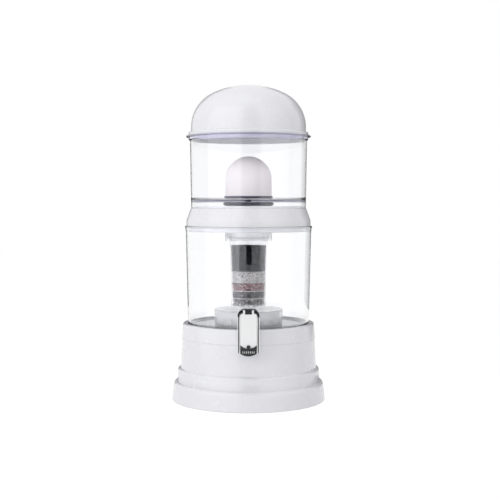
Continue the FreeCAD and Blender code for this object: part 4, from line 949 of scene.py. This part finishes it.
for node in PADS:
    foot, top, _ = size_of(node)
    edge, low, high = cup_radius(foot) - WALL_GAP, foot + PAD_GAP, top - PAD_GAP
    rim = rounded([(20, low), (edge, low, PAD_ROUND), (edge, high, PAD_ROUND), (20, high)], closed=False)
    turned("felt_" + node, np.vstack([[(0, low)], rim, [(0, high)]]), FELT, "cartridge", [node],
           160, fuzz)
print("felt pads:", len(PADS))

# %% [markdown]
# ## The mineral stones
#
# The tray on the tank's floor holds washed pebbles, larger and smoother than the grains. They lie in two
# layers of rings, each pebble a little out of place.


# %% The pebbles
PEBBLE_LAYERS = ((154.4, 0.0), (161.2, 0.5))
PEBBLE_RINGS, PEBBLE_STEP = (57.5, 47, 36.5, 26, 15.5, 5), 10.8
STONES_LOW_Z, STONES_HIGH_Z, STONES_R = size_of("mineral_stones")
STONES_GAP = 0.1


def pebble_places(draw):
    """Rings of places in two layers, close enough that the pebbles touch, each place a little off."""
    places = []
    for z, shift in PEBBLE_LAYERS:
        for radius in PEBBLE_RINGS:
            around = max(3, int(TURN * radius / PEBBLE_STEP))
            angle = (np.arange(around) + shift + radius) * TURN / around
            ring = np.stack([radius * np.cos(angle), radius * np.sin(angle), np.full(around, z)], -1)
            places.append(ring)
    places = np.vstack(places)
    return places + draw.normal(size=places.shape) * (0.9, 0.9, 0.5)


draw = np.random.default_rng(21)
places = pebble_places(draw)
sizes = draw.uniform(5.2, 6.6, len(places))
verts, faces = stones_arrays(draw, places, sizes, 3, 0.62, 0.0)
radius = np.hypot(verts[:, 0], verts[:, 1])
verts[:, :2] *= np.minimum(1, (STONES_R + STONES_GAP) / np.maximum(radius, 1e-6))[:, None]
verts[:, 2] = np.clip(verts[:, 2], STONES_LOW_Z + STONES_GAP, STONES_HIGH_Z - STONES_GAP)
pebbles = add_piece("mineral_pebbles", verts * MM, faces, PEBBLE, "lower_tank", ["mineral_stones"])
set_tone(pebbles, np.repeat(draw.uniform(0, 1, len(places)), len(verts) // len(places)))
print("pebbles:", len(places))

# %% [markdown]
# ## The studio
#
# The object stands on a pale floor in front of white. The white comes from the world as the camera,
# mirrors and clear plastic see it, and the lamps stay plain. What the tanks mirror is set by cards: a
# bright one to the left, a weaker one to the right and a dark one in front lay the upright strips over the
# tanks. A low dark one does the same for the carbon. It shows through clear plastic as well, because the
# carbon is seen through the tank. Dim ones behind, to the sides, draw the dark lines along the walls'
# edges, where plastic mirrors most.


# %% Camera
# The camera is level, a little above the collar's top, and its picture is shifted down to the object.
HORIZON_Z, CAMERA_AWAY = 0.3875, 2.04
camera_data = bpy.data.cameras.new("camera")
camera_data.sensor_width = 36
camera_data.lens = 74.2
camera_data.shift_x = 0.003
camera_data.shift_y = -0.096
camera = bpy.data.objects.new("camera", camera_data)
camera.location = (0, -CAMERA_AWAY, HORIZON_Z)
camera.rotation_euler = (math.radians(90), 0, 0)
bpy.context.scene.collection.objects.link(camera)
bpy.context.scene.camera = camera
print("camera:", CAMERA_AWAY, "m away, at", HORIZON_Z, "m")


# %% White surroundings
def seen_directly(tree):
    """A node's output that is 1 for what the camera, a mirror or clear plastic sees, and 0 for other light:
    the largest of the three kinds of ray."""
    path = tree.nodes.new("ShaderNodeLightPath")
    seen = path.outputs["Is Camera Ray"]
    for kind in ("Is Glossy Ray", "Is Transmission Ray"):
        larger = tree.nodes.new("ShaderNodeMath")
        larger.operation = "MAXIMUM"
        tree.links.new(seen, larger.inputs[0])
        tree.links.new(path.outputs[kind], larger.inputs[1])
        seen = larger.outputs[0]
    return seen


SEEN_WHITE, LIGHT_GIVEN = 1.0, 0.55
scene = bpy.context.scene
scene.view_settings.view_transform = "Standard"
world = bpy.data.worlds.new("surroundings")
scene.world = world
world.use_nodes = True
tree = world.node_tree
background = tree.nodes["Background"]
background.inputs["Color"].default_value = (1, 1, 1, 1)
strength = tree.nodes.new("ShaderNodeMapRange")
strength.inputs["To Min"].default_value = LIGHT_GIVEN
strength.inputs["To Max"].default_value = SEEN_WHITE
tree.links.new(seen_directly(tree), strength.inputs["Value"])
tree.links.new(strength.outputs["Result"], background.inputs["Strength"])


# %% Floor
def stage_plane(name, centre, size, turn, material):
    """A flat card, which isn't part of the object."""
    mesh = bpy.data.meshes.new(name)
    w, h = size[0] / 2, size[1] / 2
    mesh.from_pydata([(-w, -h, 0), (w, -h, 0), (w, h, 0), (-w, h, 0)], [], [(0, 1, 2, 3)])
    mesh.materials.append(material)
    card = bpy.data.objects.new(name, mesh)
    card.location = centre
    card.rotation_euler = turn
    bpy.context.scene.collection.objects.link(card)
    return card


FLOOR_SIDE, FLOOR_SHADE, GLOW, GLOW_SHARE = 12, 0.86, 1.09, 0.86
floor_finish = bpy.data.materials.new("floor")
floor_finish.use_nodes = True
floor_finish.cycles.emission_sampling = "NONE"
tree = floor_finish.node_tree
surface = tree.nodes["Principled BSDF"]
surface.inputs["Base Color"].default_value = (FLOOR_SHADE, FLOOR_SHADE, FLOOR_SHADE, 1)
surface.inputs["Roughness"].default_value = 0.9
surface.inputs["Specular IOR Level"].default_value = 0.1
glow = tree.nodes.new("ShaderNodeEmission")
glow.inputs["Strength"].default_value = GLOW
share = tree.nodes.new("ShaderNodeMath")
share.operation = "MULTIPLY"
share.inputs[1].default_value = GLOW_SHARE
mix = tree.nodes.new("ShaderNodeMixShader")
tree.links.new(seen_directly(tree), share.inputs[0])
tree.links.new(share.outputs[0], mix.inputs[0])
tree.links.new(surface.outputs[0], mix.inputs[1])
tree.links.new(glow.outputs[0], mix.inputs[2])
tree.links.new(mix.outputs[0], tree.nodes["Material Output"].inputs["Surface"])
stage_plane("floor", (0, 0, 0), (FLOOR_SIDE, FLOOR_SIDE), (0, 0, 0), floor_finish)


# %% Lamps
def soft_box(name, place, target, size, power):
    """A rectangular lamp that faces a point."""
    data = bpy.data.lights.new(name, "AREA")
    data.shape = "RECTANGLE"
    data.size, data.size_y = size
    data.energy = power
    lamp = bpy.data.objects.new(name, data)
    lamp.location = place
    lamp.rotation_euler = (Vector(target) - Vector(place)).to_track_quat("-Z", "Y").to_euler()
    lamp.visible_glossy = False
    lamp.visible_transmission = False
    bpy.context.scene.collection.objects.link(lamp)


MIDDLE = (0, 0, 0.33)
soft_box("left_box", (-1.25, -1.15, 0.6), MIDDLE, (0.7, 1.3), 11)
soft_box("right_box", (1.3, -1.2, 0.5), MIDDLE, (0.6, 1.3), 5)
soft_box("top_box", (0, -0.2, 1.9), MIDDLE, (1.2, 1.2), 7)
print("lamps:", len(bpy.data.lights))


# %% Cards
def unlit_card(name, centre, size, turn, shade, through=True):
    """A card of one shade that only mirrors see, and clear plastic as well unless through is off."""
    finish = bpy.data.materials.new(name)
    finish.cycles.emission_sampling = "NONE"
    finish.use_nodes = True
    tree = finish.node_tree
    tree.nodes.remove(tree.nodes["Principled BSDF"])
    glow = tree.nodes.new("ShaderNodeEmission")
    brightest = max(shade)
    glow.inputs["Color"].default_value = (*[c / brightest for c in shade], 1)
    glow.inputs["Strength"].default_value = brightest
    tree.links.new(glow.outputs[0], tree.nodes["Material Output"].inputs["Surface"])
    card = stage_plane(name, centre, size, turn, finish)
    card.visible_camera = False
    card.visible_diffuse = False
    card.visible_shadow = False
    card.visible_transmission = through


def mirror_card(name, start_deg, end_deg, distance, heights, shade, through=True):
    """An upright card between two bearings as seen from the object, which count from the camera's side, to
    the right where positive, and between two heights. Its ends are at distance * (sin a, -cos a)."""
    bearings = np.radians([start_deg, end_deg])
    a, b = distance * np.stack([np.sin(bearings), -np.cos(bearings)], -1)
    along = b - a
    low, high = heights
    unlit_card(name, (*(a + b) / 2, (low + high) / 2), (float(np.hypot(*along)), high - low),
               (math.radians(90), 0, math.atan2(along[1], along[0])), shade, through)


WHOLE, TANKS, CARBON_LEVEL = (0.005, 1.5), (0.155, 1.1), (0.228, 0.292)
DARK, DIM = (0.01, 0.01, 0.02), (0.03, 0.03, 0.04)
mirror_card("bright_left", -82, -14, 0.95, WHOLE, (1.75, 1.75, 1.85))
mirror_card("bright_right", 24, 82, 0.95, WHOLE, (1.45, 1.45, 1.5))
mirror_card("dark_front", -9, 18, 0.36, TANKS, DARK, through=False)
mirror_card("dark_carbon", -14, 18, 0.355, CARBON_LEVEL, DARK)
mirror_card("dim_right", 125, 174, 1.7, WHOLE, DIM, through=False)
mirror_card("dim_left", -174, -150, 1.7, WHOLE, DIM, through=False)
